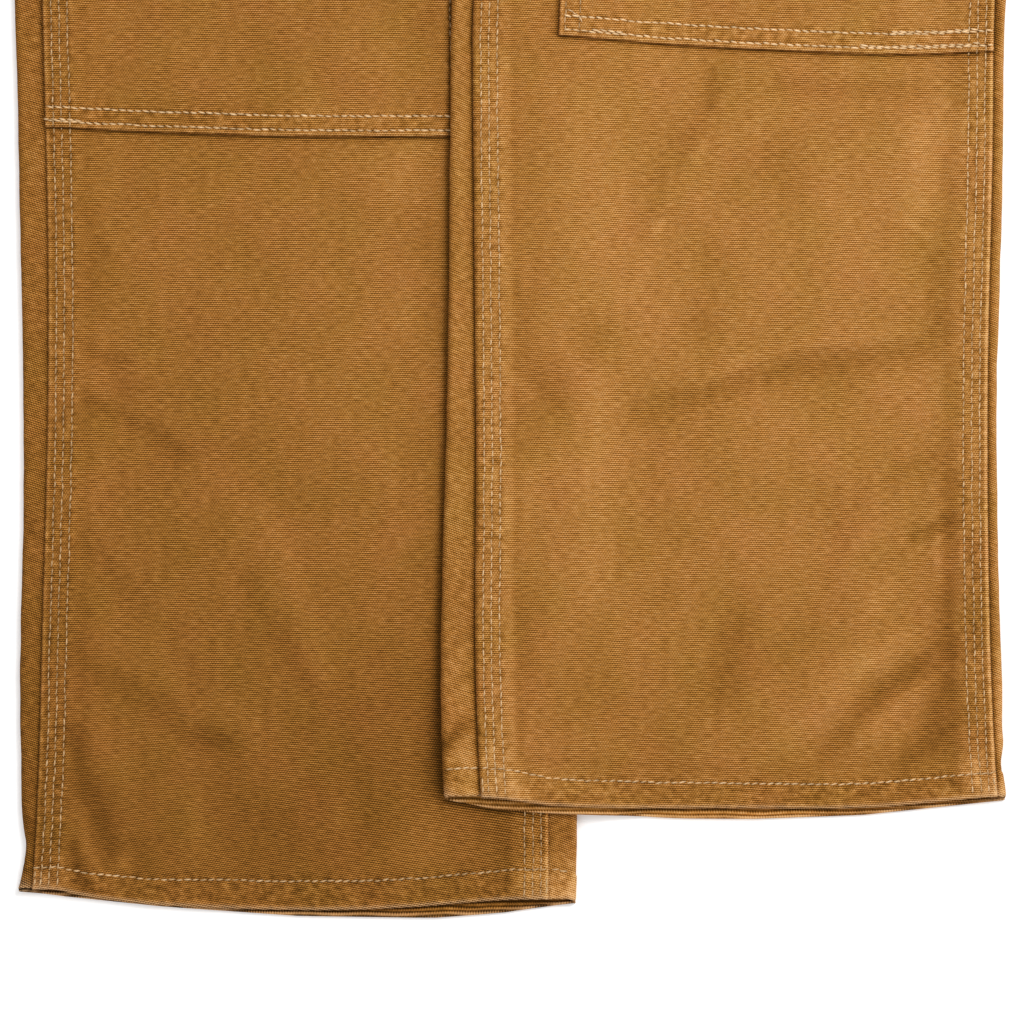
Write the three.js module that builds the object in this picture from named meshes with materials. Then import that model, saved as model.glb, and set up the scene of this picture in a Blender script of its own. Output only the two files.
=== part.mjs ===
// Double-front carpenter pants in duck canvas, laid flat, with the left leg over the right one.
// Millimetres, +Z up, +Y from the hems to the waist. Right and left are the wearer's.
// Each leg is measured outwards from the middle of the garment, so its outer side is positive.

import * as THREE from 'three';

// Cloth and seams
const CLOTH = 1.2;
const GAP = 0.3;
const BEND = 2.2;
const FELL = 12.5;
const FELL_AT_MOUTH = 4;
const SHOULDER = 16;
const FRONT_REST = 3.0;

// Waist and hips
const WAIST = 880;
const WAIST_RISE_AT_SIDE = 8;
const BACK_WAIST_RISE = 25;
const HALF_WAIST = 238;
const BAND_HEIGHT = 42;
const BAND_CLOTH = 2.2;
const BAND_LAP = 16;
const BAND_LAP_RAMP = 20;
const BAND_SPANS = 14;
const CROTCH = 650;
const TILT = 0.069;
const TILT_START = 300;
const TILT_END = 800;

// The left leg over the right one
const LAP_LOW = 6.0;
const LAP_HIGH = 7.6;
const LAP_CLIMB = 21;
const LAP_FALL = 30;
const LAP_FULL_BELOW = 540;
const LAP_NONE_ABOVE = 640;

// Inseam: curled up at the crotch, and on top of the leg below it
const CURL_FULL_BELOW = 520;
const CURL_SHARE = 0.85;
const FLAP_STUB = 0.7;
const FOLD_STEPS = [0, 0.25, 0.5, 0.75, 1];

// Front pocket, fly, hammer loop and belt loops
const MOUTH_START = 745;
const MOUTH_WIDTH = 74;
const MOUTH_CURVE = 1.3;
const MOUTH_LIP = 0.8;
const MOUTH_LIP_WIDTH = 15;
const FLY_START = 700;
const FLY_LAP = 4;
const FLY_RAISE = 1.7;
const FLY_BLEND = 14;
const HAMMER_LOOP = { y: 625, width: 44, reach: 24, clear: 0.6 };
const BELT_LOOP = { width: 15, cloth: 1.6, past: 2.5, places: [-196, -88, 88, 196] };

// A table with named columns.
function table(columns, rows) {
  return rows.map((row) => Object.fromEntries(columns.map((name, i) => [name, row[i]])));
}

// Places across each leg: both folds of the back panel, and both edges of the front panel between them.
const LEG_COLUMNS = ['y', 'outerFold', 'outSeam', 'inSeam', 'innerFold'];
const HIP_SECTIONS = [
  [470, 261.5, 251.0, 5.0, -5.0],
  [520, 270.5, 260.5, 7.5, 0.4],
  [570, 278.5, 269.0, 4.5, 0.4],
  [610, 283.5, 274.0, 1.5, 0.4],
  [650, 287.0, 277.5, 0.2, 0.2],
  [700, 288.0, 278.5, 0.2, 0.2],
  [760, 282.5, 273.0, 0.2, 0.2],
  [820, 265.0, 255.5, 0.2, 0.2],
  [905, 234.0, 224.5, 0.2, 0.2],
];
const RIGHT_LEG = table(LEG_COLUMNS, [
  [-178, 216.6, 211.6, -16.0, -27.6],
  [-153, 214.6, 210.0, -16.3, -28.2],
  [-140, 214.2, 209.2, -16.3, -28.5],
  [-100, 216.5, 207.6, -16.2, -28.4],
  [-48, 216.4, 206.4, -16.0, -28.2],
  [-12, 215.2, 205.3, -15.9, -28.0],
  [32, 215.2, 204.2, -15.6, -27.7],
  [85, 215.6, 203.7, -15.2, -27.2],
  [137, 216.9, 204.2, -14.6, -26.6],
  [190, 218.0, 205.5, -14.0, -26.0],
  [225, 218.8, 206.0, -13.5, -25.5],
  [300, 227.0, 215.5, -10.5, -22.0],
  [400, 247.0, 236.0, -3.5, -14.5],
  ...HIP_SECTIONS,
]);
const LEFT_LEG = table(LEG_COLUMNS, [
  [-136, 217.2, 214.4, -12.8, -28.0],
  [-111, 215.2, 212.4, -14.4, -30.4],
  [-83, 215.5, 211.0, -15.6, -31.2],
  [-56, 214.7, 210.1, -16.3, -31.2],
  [-21, 213.6, 209.4, -16.1, -30.4],
  [14, 213.2, 209.0, -15.8, -29.3],
  [40, 212.8, 209.0, -15.8, -28.6],
  [67, 213.2, 209.2, -16.1, -28.2],
  [93, 214.1, 209.7, -16.4, -27.7],
  [137, 215.4, 210.8, -16.7, -27.3],
  [181, 216.0, 211.6, -17.2, -26.8],
  [225, 216.8, 212.0, -17.0, -26.4],
  [300, 225.0, 218.5, -11.5, -22.0],
  [400, 246.5, 238.0, -4.0, -14.5],
  ...HIP_SECTIONS,
]);

// Edges that run across a leg: their height along the leg, by share of its width from the outer side.
const RIGHT_EDGES = {
  frontHem: table(['share', 'y'], [
    [0, -165.9], [0.05, -166.1], [0.11, -169.3], [0.25, -173.1], [0.5, -175.1],
    [0.63, -175.0], [0.75, -173.6], [0.92, -170.5], [1, -170.2],
  ]),
  backHem: table(['share', 'y'], [
    [0, -166.0], [0.11, -169.4], [0.25, -172.4], [0.4, -174.9], [0.61, -178.0],
    [0.79, -177.1], [0.9, -175.2], [1, -172.8],
  ]),
  outerFlapHem: -165.8,
  innerFlapHem: -171.4,
  knee: table(['share', 'y'], [
    [0, 169.0], [0.2, 166.9], [0.3, 166.2], [0.42, 165.2], [0.55, 164.8], [0.85, 164.8], [1, 164.8],
  ]),
  kneeTop: 600,
  kneeFromInseam: 31.5,
};
const LEFT_EDGES = {
  frontHem: table(['share', 'y'], [
    [0, -125.0], [0.065, -126.2], [0.15, -128.3], [0.27, -130.4], [0.46, -130.4],
    [0.73, -130.2], [0.88, -128.7], [0.94, -126.4], [1, -125.4],
  ]),
  backHem: table(['share', 'y'], [
    [0, -126.3], [0.13, -130.6], [0.26, -132.9], [0.5, -134.8], [0.69, -133.6],
    [0.86, -131.8], [0.94, -129.8], [1, -126.2],
  ]),
  outerFlapHem: -125.4,
  innerFlapHem: -124.8,
  knee: table(['share', 'y'], [
    [0, 202.2], [0.15, 200.9], [0.25, 201.1], [0.36, 202.2],
    [0.5, 203.7], [0.66, 205.9], [0.83, 208.9], [1, 209.5],
  ]),
  kneeTop: 615,
  kneeFromInseam: 37.7,
};

// Soft folds of the fronts: a line between two places, the fold's half width, and how high it stands.
// A trough's height is below zero.
const FOLD_COLUMNS = ['fromX', 'fromY', 'toX', 'toY', 'half', 'rise'];
const RIGHT_FOLDS = table(FOLD_COLUMNS, [
  [-186, 45, -140, 30, 12, -0.9],
  [-185, -22, -160, -45, 12, -0.9],
  [-182, -75, -120, -102, 13, -1.1],
  [-190, -100, -176, -148, 10, -1.4],
  [-100, -40, -78, -80, 13, 0.9],
  [-150, 330, -80, 360, 24, 1.4],
  [-220, 470, -90, 500, 28, 1.6],
  [-200, 640, -40, 600, 26, 1.5],
]);
const LEFT_FOLDS = table(FOLD_COLUMNS, [
  [62, 49, 190, 72, 15, -1.3],
  [70, 68, 185, 92, 17, 0.9],
  [136, -106, 172, -62, 9, -1.6],
  [124, -98, 158, -62, 9, 1.0],
  [150, -108, 186, -66, 8, 0.9],
  [84, -66, 104, -50, 20, -1.2],
  [190, -98, 190, -20, 12, -1.3],
  [110, 187, 190, 185, 14, -0.9],
  [80, 330, 180, 365, 24, 1.5],
  [60, 520, 190, 480, 28, 1.6],
  [40, 590, 150, 640, 26, 1.6],
]);

// Rows of sections: shares of the way from the hem to the knee panel, along the panel, and on to the waist.
const SHARES_TO_KNEE = [0, 0.012, 0.04, 0.085, 0.15, 0.22, 0.3, 0.39, 0.48, 0.58, 0.68, 0.79, 0.9];
const SHARES_ON_KNEE = [0, 0.06, 0.14, 0.25, 0.37, 0.49, 0.61, 0.72, 0.81, 0.9];
const LEVELS_TO_WAIST = [CROTCH, FLY_START, MOUTH_START, 775, 805, 840, WAIST];

const smoothstep = (from, to, value) => THREE.MathUtils.smoothstep(value, from, to);
const mix = THREE.MathUtils.lerp;

// A smooth curve through one column of a table, against another.
function curveOf(rows, column, against) {
  const at = rows.map((row) => row[against]);
  const values = rows.map((row) => row[column]);
  const last = rows.length - 1;
  const slopes = values.map((_, i) => {
    const before = Math.max(i - 1, 0);
    const after = Math.min(i + 1, last);
    return (values[after] - values[before]) / (at[after] - at[before]);
  });
  return (place) => {
    if (place <= at[0]) return values[0];
    if (place >= at[last]) return values[last];
    const i = at.findIndex((next) => next > place) - 1;
    const span = at[i + 1] - at[i];
    const t = (place - at[i]) / span;
    return (2 * t ** 3 - 3 * t ** 2 + 1) * values[i] + (t ** 3 - 2 * t ** 2 + t) * span * slopes[i]
      + (3 * t ** 2 - 2 * t ** 3) * values[i + 1] + (t ** 3 - t ** 2) * span * slopes[i + 1];
  };
}

// One leg: its outlines as functions, which way its outer side lies, its folds and what it lies on.
function legOf(sections, edges, folds, outward, liftOf) {
  const { kneeTop, kneeFromInseam, outerFlapHem, innerFlapHem } = edges;
  const leg = { outward, folds, liftOf, kneeTop, kneeFromInseam, outerFlapHem, innerFlapHem };
  for (const name of LEG_COLUMNS.slice(1)) leg[name] = curveOf(sections, name, 'y');
  for (const name of ['frontHem', 'backHem', 'knee']) leg[name] = curveOf(edges[name], 'y', 'share');
  return leg;
}

const rightLeg = legOf(RIGHT_LEG, RIGHT_EDGES, RIGHT_FOLDS, -1, () => 0);

// How high the left leg's underside lies: over the right leg's seam, then down to the floor past its fold.
function lapLift(x, y) {
  const fold = -rightLeg.innerFold(y);
  const seamStart = -rightLeg.inSeam(y) - FELL;
  const overSeam = LAP_LOW + (LAP_HIGH - LAP_LOW) * smoothstep(seamStart - LAP_CLIMB, seamStart, x);
  const pastFold = 1 - smoothstep(fold + BEND, fold + BEND + LAP_FALL, x);
  return overSeam * pastFold * (1 - smoothstep(LAP_FULL_BELOW, LAP_NONE_ABOVE, y));
}
const leftLeg = legOf(LEFT_LEG, LEFT_EDGES, LEFT_FOLDS, 1, lapLift);

// The waist line of the fronts, and that of the backs, which rises to its middle.
const frontWaist = (across) => WAIST + WAIST_RISE_AT_SIDE * (across / HALF_WAIST) ** 2;
function backWaist(across) {
  return frontWaist(across) + BACK_WAIST_RISE * Math.max(0, 1 - (across / HALF_WAIST) ** 2);
}

// Every row's place along the leg, at one share of its width, under one hem and one waist line.
function levelsOf(leg, hem, waist, share) {
  const knee = leg.knee(share);
  const below = SHARES_TO_KNEE.map((t) => mix(hem, knee, t));
  const on = SHARES_ON_KNEE.map((t) => mix(knee, leg.kneeTop, t));
  const top = waist - GAP;
  const above = [leg.kneeTop, ...LEVELS_TO_WAIST].map((level) => mix(leg.kneeTop, top,
    (level - leg.kneeTop) / (WAIST - leg.kneeTop)));
  return [...below, ...on, ...above.filter((level, i) => i === 0 || level > leg.kneeTop + CLOTH)];
}

// The garment's waist lies a little askew, so that one hem reaches lower than the other.
const skew = (x, y) => y + TILT * x * smoothstep(TILT_START, TILT_END, y);
function place(leg, across, y, z) {
  const x = leg.outward * across;
  return [x, skew(x, y), z + leg.liftOf(x, y)];
}

// A closed wall from a grid of points, each with its outer and its inner face.
function wall(grid) {
  const rows = grid.length;
  const columns = grid[0].length;
  const positions = [];
  for (const face of ['outer', 'inner']) {
    for (const row of grid) for (const point of row) positions.push(...point[face]);
  }
  const id = (face, j, i) => (face * rows + j) * columns + i;
  const index = [];
  const quad = (a, b, c, d) => index.push(a, b, c, a, c, d);
  for (let j = 0; j < rows - 1; j++) {
    for (let i = 0; i < columns - 1; i++) {
      quad(id(0, j, i), id(0, j, i + 1), id(0, j + 1, i + 1), id(0, j + 1, i));
      quad(id(1, j, i), id(1, j + 1, i), id(1, j + 1, i + 1), id(1, j, i + 1));
    }
    quad(id(1, j, 0), id(0, j, 0), id(0, j + 1, 0), id(1, j + 1, 0));
    quad(id(0, j, columns - 1), id(1, j, columns - 1), id(1, j + 1, columns - 1), id(0, j + 1, columns - 1));
  }
  for (let i = 0; i < columns - 1; i++) {
    quad(id(1, 0, i), id(1, 0, i + 1), id(0, 0, i + 1), id(0, 0, i));
    quad(id(0, rows - 1, i), id(0, rows - 1, i + 1), id(1, rows - 1, i + 1), id(1, rows - 1, i));
  }
  if (volumeOf(positions, index) < 0) index.reverse();
  const geometry = new THREE.BufferGeometry();
  geometry.setAttribute('position', new THREE.Float32BufferAttribute(positions, 3));
  geometry.setIndex(index);
  geometry.computeVertexNormals();
  return geometry;
}

// Six times the volume inside a mesh: negative where its faces point inwards.
function volumeOf(positions, index) {
  const corner = (i) => new THREE.Vector3().fromArray(positions, 3 * index[i]);
  let volume = 0;
  for (let i = 0; i < index.length; i += 3) volume += corner(i).dot(corner(i + 1).cross(corner(i + 2)));
  return volume;
}

// A point where cloth folds over: share is 0 below and 1 on top, and side says which way the fold faces.
function foldPoint(centre, low, bend, side, share) {
  const nx = side * Math.sin(Math.PI * share);
  const nz = -Math.cos(Math.PI * share);
  return { across: centre + bend * nx, z: low + bend * (1 + nz), nx, nz, layer: share };
}
const layPoint = (across, low, bend, layer) => foldPoint(across, low, bend, 0, layer);

// How far the back panel has turned up at the inner side of a leg: none at the crotch, a half turn below it.
function innerCurl(y) {
  const share = 1 - smoothstep(CURL_FULL_BELOW, CROTCH, y);
  return {
    turn: Math.min(1, share / CURL_SHARE),
    flap: Math.max(0, (share - CURL_SHARE) / (1 - CURL_SHARE)),
  };
}

// The back panel's section: from under the front's outer edge, round the outer fold, across below,
// and up round the inner fold.
function backSection(leg, y, acrossBelow) {
  const low = CLOTH / 2;
  const outerCentre = leg.outerFold(y) - BEND - low;
  const flapStart = Math.min(leg.outSeam(y), outerCentre - GAP);
  const flapEnd = leg.outSeam(y) - mix(FELL, FELL_AT_MOUTH, smoothstep(MOUTH_START - FELL, MOUTH_START, y));
  const { turn, flap } = innerCurl(y);
  const risen = Math.min(turn * Math.PI, Math.PI / 2);
  const innerCentre = leg.innerFold(y) + (BEND + low) * Math.sin(risen) + FLAP_STUB * Math.cos(risen);
  const innerFold = FOLD_STEPS.map((t) =>
    foldPoint(innerCentre - FLAP_STUB * t / 2, low, BEND, -1, turn * t));
  const end = innerFold.at(-1);
  const flapRun = Math.max(FLAP_STUB / 2, flap * (leg.inSeam(y) + FELL - innerCentre));
  return [
    ...[0, 0.5, 1].map((t) => layPoint(mix(flapEnd, flapStart, t), low, BEND, 1)),
    ...FOLD_STEPS.map((t) => foldPoint(outerCentre, low, BEND, 1, 1 - t)),
    ...acrossBelow.map((t) => layPoint(mix(outerCentre, innerCentre, t), low, BEND, 0)),
    ...innerFold,
    ...[0.45, 1].map((t) => ({
      ...end,
      across: end.across + end.nz * flapRun * t,
      z: end.z - end.nx * flapRun * t,
      layer: 1,
    })),
  ];
}

// The back panel of a leg.
function backPanel(leg, acrossBelow) {
  const halfCloth = CLOTH / 2;
  const atWaist = backSection(leg, WAIST, acrossBelow);
  const legWidth = leg.outerFold(0) - leg.innerFold(0);
  const columns = backSection(leg, 0, acrossBelow).map(({ across, layer }, i) => {
    const share = THREE.MathUtils.clamp((leg.outerFold(0) - across) / legWidth, 0, 1);
    const hem = mix(leg.backHem(share), share < 0.5 ? leg.outerFlapHem : leg.innerFlapHem, layer);
    const waist = mix(backWaist(atWaist[i].across), frontWaist(atWaist[i].across), layer);
    return levelsOf(leg, hem, waist, share).map((y) => {
      const { across: x, z, nx, nz } = backSection(leg, y, acrossBelow)[i];
      const face = (offset) => place(leg, x + offset * nx, y, z + offset * nz);
      return { outer: face(halfCloth), inner: face(-halfCloth) };
    });
  });
  return wall(columns[0].map((_, j) => columns.map((column) => column[j])));
}

// A front's soft folds: how much they raise the cloth at one place.
function foldRise(leg, x, y) {
  const here = new THREE.Vector3(x, y, 0);
  return leg.folds.reduce((rise, { fromX, fromY, toX, toY, half, rise: height }) => {
    const line = new THREE.Line3(new THREE.Vector3(fromX, fromY, 0), new THREE.Vector3(toX, toY, 0));
    const distance = line.closestPointToPoint(here, true, new THREE.Vector3()).distanceTo(here);
    return rise + height * Math.exp(-((distance / half) ** 2));
  }, 0);
}

// The height of a front's underside: on the seam flaps at its sides, and near the back panel between them.
function frontHeight(leg, across, y) {
  const fromOuter = leg.outSeam(y) - across;
  const fromInner = across - leg.inSeam(y);
  const outerHeight = CLOTH + 2 * BEND + GAP;
  const innerHeight = CLOTH + GAP + BEND * (1 - Math.cos(Math.PI * innerCurl(y).turn));
  const shoulder = (distance) => 1 - smoothstep(FELL, FELL + SHOULDER, distance);
  const middle = (1 - shoulder(fromOuter)) * (1 - shoulder(fromInner));
  const height = FRONT_REST + (outerHeight - FRONT_REST) * shoulder(fromOuter)
    + (innerHeight - FRONT_REST) * shoulder(fromInner) + middle * foldRise(leg, leg.outward * across, y);
  return Math.max(CLOTH + GAP, height);
}

// How far the curved pocket mouth has cut into a front's outer edge.
function mouthWidth(y) {
  const share = THREE.MathUtils.clamp((y - MOUTH_START) / (WAIST - MOUTH_START), 0, 1);
  return MOUTH_WIDTH * Math.sin(Math.PI / 2 * share) ** MOUTH_CURVE;
}

// The columns of a front: a few at set distances from each edge, and even ones between the outer ones
// and the knee panel's inner edge.
const FROM_OUTER = [0, 6, FELL, 20, 28.5];
const FROM_INNER = [28.5, 20, FELL, 6, 0];
const EVEN_SHARES = [1, 2, 3, 4, 5, 6].map((i) => i / 7);
const KNEE_COLUMNS = FROM_OUTER.length + EVEN_SHARES.length + 1;
function frontColumns(leg, y, flyLap) {
  const outer = leg.outSeam(y) - mouthWidth(y);
  const inner = leg.inSeam(y) - flyLap;
  const start = outer - FROM_OUTER.at(-1);
  const kneeInner = inner + leg.kneeFromInseam;
  return [
    ...FROM_OUTER.map((d) => outer - d),
    ...EVEN_SHARES.map((t) => mix(start, kneeInner, t)),
    kneeInner,
    ...FROM_INNER.map((d) => inner + d),
  ];
}

// The front panel of a leg, as a grid of places and heights of its underside.
function frontGrid(leg) {
  const straight = frontColumns(leg, 0, 0);
  const atWaist = frontColumns(leg, WAIST, 0);
  const columns = straight.map((across, i) => {
    const share = (straight[0] - across) / (straight[0] - straight[straight.length - 1]);
    const rows = levelsOf(leg, leg.frontHem(share), frontWaist(atWaist[i]), share);
    return rows.map((y) => {
      const overlaps = leg.outward > 0 && y > FLY_START - CLOTH;
      const flyLap = overlaps ? FLY_LAP * smoothstep(FLY_START, MOUTH_START, y) : 0;
      const here = frontColumns(leg, y, flyLap)[i];
      const fromMouth = leg.outSeam(y) - mouthWidth(y) - here;
      const lip = mouthWidth(y) > 1 ? MOUTH_LIP * (1 - smoothstep(0, MOUTH_LIP_WIDTH, fromMouth)) : 0;
      const fly = overlaps ? FLY_RAISE * (1 - smoothstep(CLOTH, FLY_BLEND, here)) : 0;
      return { across: here, y, z: frontHeight(leg, here, y) + lip + fly };
    });
  });
  return columns[0].map((_, j) => columns.map((column) => column[j]));
}

// A panel that lies on such a grid, raised by a height.
function panelOn(leg, grid, height) {
  return wall(grid.map((row) => row.map(({ across, y, z }) => ({
    outer: place(leg, across, y, z + height + CLOTH),
    inner: place(leg, across, y, z + height),
  }))));
}

// The knee panel: the front's own points in that region, moved out.
function kneePanel(leg, grid) {
  const first = SHARES_TO_KNEE.length;
  const rows = grid.slice(first, first + SHARES_ON_KNEE.length + 1);
  return panelOn(leg, rows.map((row) => row.slice(0, KNEE_COLUMNS)), CLOTH + GAP);
}

// The facing that shows inside a front pocket's mouth, between the outseam and the mouth's edge.
function pocketFacing(leg, grid) {
  const rows = grid.filter((row) => mouthWidth(row[0].y) > BAND_LAP);
  return panelOn(leg, rows.map((row) => [1, 0.75, 0.5, 0.25, 0].map((t) => {
    const { y } = row[0];
    const across = mix(row[0].across + 2 * GAP, leg.outSeam(y), 1 - t);
    return { across, y, z: frontHeight(leg, across, y) };
  })), 0);
}

// The waistband: a doubled strip whose left end laps over its right end at the front.
function waistband() {
  const low = BAND_CLOTH / 2;
  const bend = low + GAP;
  const spans = Array.from({ length: BAND_SPANS - 1 }, (_, i) => (i + 1) / BAND_SPANS);
  const lay = (across, layer) => layPoint(across, low, bend, layer);
  const lapped = (across) => ({ ...lay(across, 1), z: low + 2 * bend + BAND_CLOTH + GAP });
  const section = (t) => {
    const widest = mix(rightLeg.outerFold(WAIST), rightLeg.outerFold(WAIST + BAND_HEIGHT), t);
    const half = widest - bend - low;
    return [
      ...[0, 0.2, 0.4, 0.6, 0.8].map((s) => lay(mix(BAND_LAP, -half, s), 1)),
      ...FOLD_STEPS.map((s) => foldPoint(-half, low, bend, -1, 1 - s)),
      ...spans.map((s) => lay(mix(-half, half, s), 0)),
      ...FOLD_STEPS.map((s) => foldPoint(half, low, bend, 1, s)),
      ...[0.25, 0.5, 0.75, 1].map((s) => lay(mix(half, BAND_LAP + BAND_LAP_RAMP, s), 1)),
      lapped(BAND_LAP + GAP),
      lapped(-BAND_LAP),
    ];
  };
  return wall([0, 0.33, 0.67, 1].map((t) => section(t).map(({ across, z, nx, nz, layer }) => {
    const y = mix(backWaist(across), frontWaist(across), layer) + BAND_HEIGHT * t;
    const face = (offset) => [across + offset * nx, skew(across, y), z + offset * nz];
    return { outer: face(low), inner: face(-low) };
  })));
}
const BAND_TOP = 2 * BAND_CLOTH + 2 * GAP;

// A belt loop: a short strap over the waistband.
function beltLoop(middle) {
  const bottom = BAND_TOP + GAP;
  const heights = [-BELT_LOOP.past, BAND_HEIGHT / 2, BAND_HEIGHT + BELT_LOOP.past];
  return wall(heights.map((up) => [-BELT_LOOP.width / 2, BELT_LOOP.width / 2].map((side) => {
    const x = middle + side;
    const y = skew(x, frontWaist(middle) + up);
    return { outer: [x, y, bottom + BELT_LOOP.cloth], inner: [x, y, bottom] };
  })));
}

// The hammer loop: a strap from the outseam, out past the leg's fold and back to it below.
function hammerLoop(leg) {
  const { y, width, reach, clear } = HAMMER_LOOP;
  const low = CLOTH / 2;
  const bend = BEND + low + GAP / 2;
  return wall([-0.5, 0, 0.5].map((t) => {
    const at = y + t * width;
    const turn = leg.outerFold(at) + reach - bend;
    const path = [
      layPoint(leg.outSeam(at) + clear, low, bend, 1),
      layPoint(leg.outerFold(at), low, bend, 1),
      ...FOLD_STEPS.map((s) => foldPoint(turn, low, bend, 1, 1 - s)),
      layPoint(leg.outerFold(at) + clear, low, bend, 0),
    ];
    return path.map(({ across, z, nx, nz }) => {
      const face = (offset) => place(leg, across + offset * nx, at, z + offset * nz);
      return { outer: face(low), inner: face(-low) };
    });
  }));
}

// The waist button: a dished metal cap on a short shank, from the middle of its back out and round.
const BUTTON_PROFILE = [
  [0, 0], [3, 0], [3, 1.4], [7.7, 1.5], [8.5, 2.3], [7.6, 3.3], [5.2, 3.0], [3.2, 2.3], [0, 2.2],
];
function waistButton() {
  const geometry = new THREE.LatheGeometry(BUTTON_PROFILE.map(([r, z]) => new THREE.Vector2(r, z)), 24);
  geometry.rotateX(Math.PI / 2);
  geometry.translate(0, WAIST + BAND_HEIGHT / 2, BAND_TOP + BAND_CLOTH + 2 * GAP);
  return geometry;
}

const canvas = new THREE.MeshStandardMaterial({ color: '#a66d2e', roughness: 0.95, metalness: 0 });
const brass = new THREE.MeshStandardMaterial({ color: '#8a6a3c', roughness: 0.4, metalness: 1 });

// Shares of the way across below a leg: more where the left leg climbs over the right one.
const ACROSS_FLAT = [0.25, 0.5, 0.75];
const ACROSS_LAPPED = [0.25, 0.45, 0.6, 0.66, 0.71, 0.76, 0.81, 0.86, 0.92];

const pants = new THREE.Group();
function addPiece(name, geometry, material = canvas) {
  const mesh = new THREE.Mesh(geometry, material);
  mesh.name = name;
  pants.add(mesh);
}

for (const [side, leg, acrossBelow] of [['right', rightLeg, ACROSS_FLAT], ['left', leftLeg, ACROSS_LAPPED]]) {
  const grid = frontGrid(leg);
  addPiece(`back_${side}`, backPanel(leg, acrossBelow));
  addPiece(`front_${side}`, panelOn(leg, grid, 0));
  addPiece(`knee_panel_${side}`, kneePanel(leg, grid));
  addPiece(`pocket_facing_${side}`, pocketFacing(leg, grid));
}
addPiece('waistband', waistband());
BELT_LOOP.places.forEach((x, i) => addPiece(`belt_loop_${i + 1}`, beltLoop(x)));
addPiece('hammer_loop', hammerLoop(leftLeg));
addPiece('waist_button', waistButton(), brass);

// The origin is the middle of the floor area that the garment covers.
const middle = new THREE.Box3().setFromObject(pants).getCenter(new THREE.Vector3());
pants.position.set(-middle.x, -middle.y, 0);

export default pants;
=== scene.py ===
# Double-front carpenter pants in brown duck canvas, laid flat with the left leg over the right one.

import bisect
import functools
import math
import random

import bmesh
import bpy
from mathutils import Matrix, Vector, noise
from mathutils.bvhtree import BVHTree


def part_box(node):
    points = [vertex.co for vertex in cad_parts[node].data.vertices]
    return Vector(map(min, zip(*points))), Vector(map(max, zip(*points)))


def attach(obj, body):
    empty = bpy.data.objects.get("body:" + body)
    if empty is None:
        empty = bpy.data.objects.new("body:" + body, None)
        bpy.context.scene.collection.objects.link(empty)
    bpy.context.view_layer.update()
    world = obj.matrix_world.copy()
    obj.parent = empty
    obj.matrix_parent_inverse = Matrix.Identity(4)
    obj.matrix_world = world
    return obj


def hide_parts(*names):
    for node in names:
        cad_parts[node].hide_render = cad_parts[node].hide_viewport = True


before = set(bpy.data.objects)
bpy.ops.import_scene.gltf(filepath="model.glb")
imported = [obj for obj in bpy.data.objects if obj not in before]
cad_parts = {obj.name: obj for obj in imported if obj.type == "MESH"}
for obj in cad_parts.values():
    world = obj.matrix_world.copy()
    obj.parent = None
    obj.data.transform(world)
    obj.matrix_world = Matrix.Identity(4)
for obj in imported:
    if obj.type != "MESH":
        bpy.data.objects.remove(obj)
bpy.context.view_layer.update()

# The table and the light
# The garment lies on a pale table under a broad soft light from above and a little to the right.
# The camera looks straight down at the lower legs, 451 mm across, from 901 mm below the waist button.
VIEW_BELOW_BUTTON = 0.901
VIEW_WIDTH = 0.4506
CAMERA_HEIGHT = 3.2
LEG_TOP = 0.0015
SENSOR_MM = 36.0

button_low, button_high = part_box("waist_button")
view_x = (button_low[0] + button_high[0]) / 2
view_y = (button_low[1] + button_high[1]) / 2 - VIEW_BELOW_BUTTON


def link(data, name):
    piece = bpy.data.objects.new(name, data)
    bpy.context.scene.collection.objects.link(piece)
    return piece


camera = link(bpy.data.cameras.new("camera"), "camera")
camera.location = (view_x, view_y, CAMERA_HEIGHT)
camera.data.lens = SENSOR_MM * (CAMERA_HEIGHT - LEG_TOP) / VIEW_WIDTH
bpy.context.scene.camera = camera


def softbox(name, x, y, z, size, power):
    """A square light that faces the middle of the garment."""
    lamp = bpy.data.lights.new(name, "AREA")
    lamp.shape = "SQUARE"
    lamp.size = size
    lamp.energy = power
    box = link(lamp, name)
    box.location = (x, y, z)
    box.rotation_euler = Vector((-x, -y, -z)).to_track_quat("-Z", "Y").to_euler()


softbox("key_light", 1.3, 0.9, 2.6, 1.5, 62)
softbox("fill_light", -1.6, -0.4, 2.4, 2.0, 18)

world = bpy.data.worlds.new("room")
world.use_nodes = True
world.node_tree.nodes["Background"].inputs["Color"].default_value = (1, 1, 1, 1)
world.node_tree.nodes["Background"].inputs["Strength"].default_value = 0.5
bpy.context.scene.world = world
bpy.context.scene.view_settings.view_transform = "Standard"

table_mesh = bmesh.new()
bmesh.ops.create_grid(table_mesh, x_segments=1, y_segments=1, size=6)
bmesh.ops.translate(table_mesh, verts=table_mesh.verts, vec=(0, 0, -0.0003))
table_data = bpy.data.meshes.new("table")
table_mesh.to_mesh(table_data)
table_mesh.free()
table_top = link(table_data, "table_top")
table_paint = bpy.data.materials.new("table_paint")
table_paint.use_nodes = True
table_shader = table_paint.node_tree.nodes["Principled BSDF"]
table_shader.inputs["Base Color"].default_value = (0.97, 0.97, 0.97, 1)
# The table's paint also glows faintly, a painted light that washes out the shadows falling on it.
table_shader.inputs["Emission Color"].default_value = (1, 1, 1, 1)
table_shader.inputs["Emission Strength"].default_value = 0.22
table_shader.inputs["Roughness"].default_value = 0.9
table_data.materials.append(table_paint)
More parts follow.
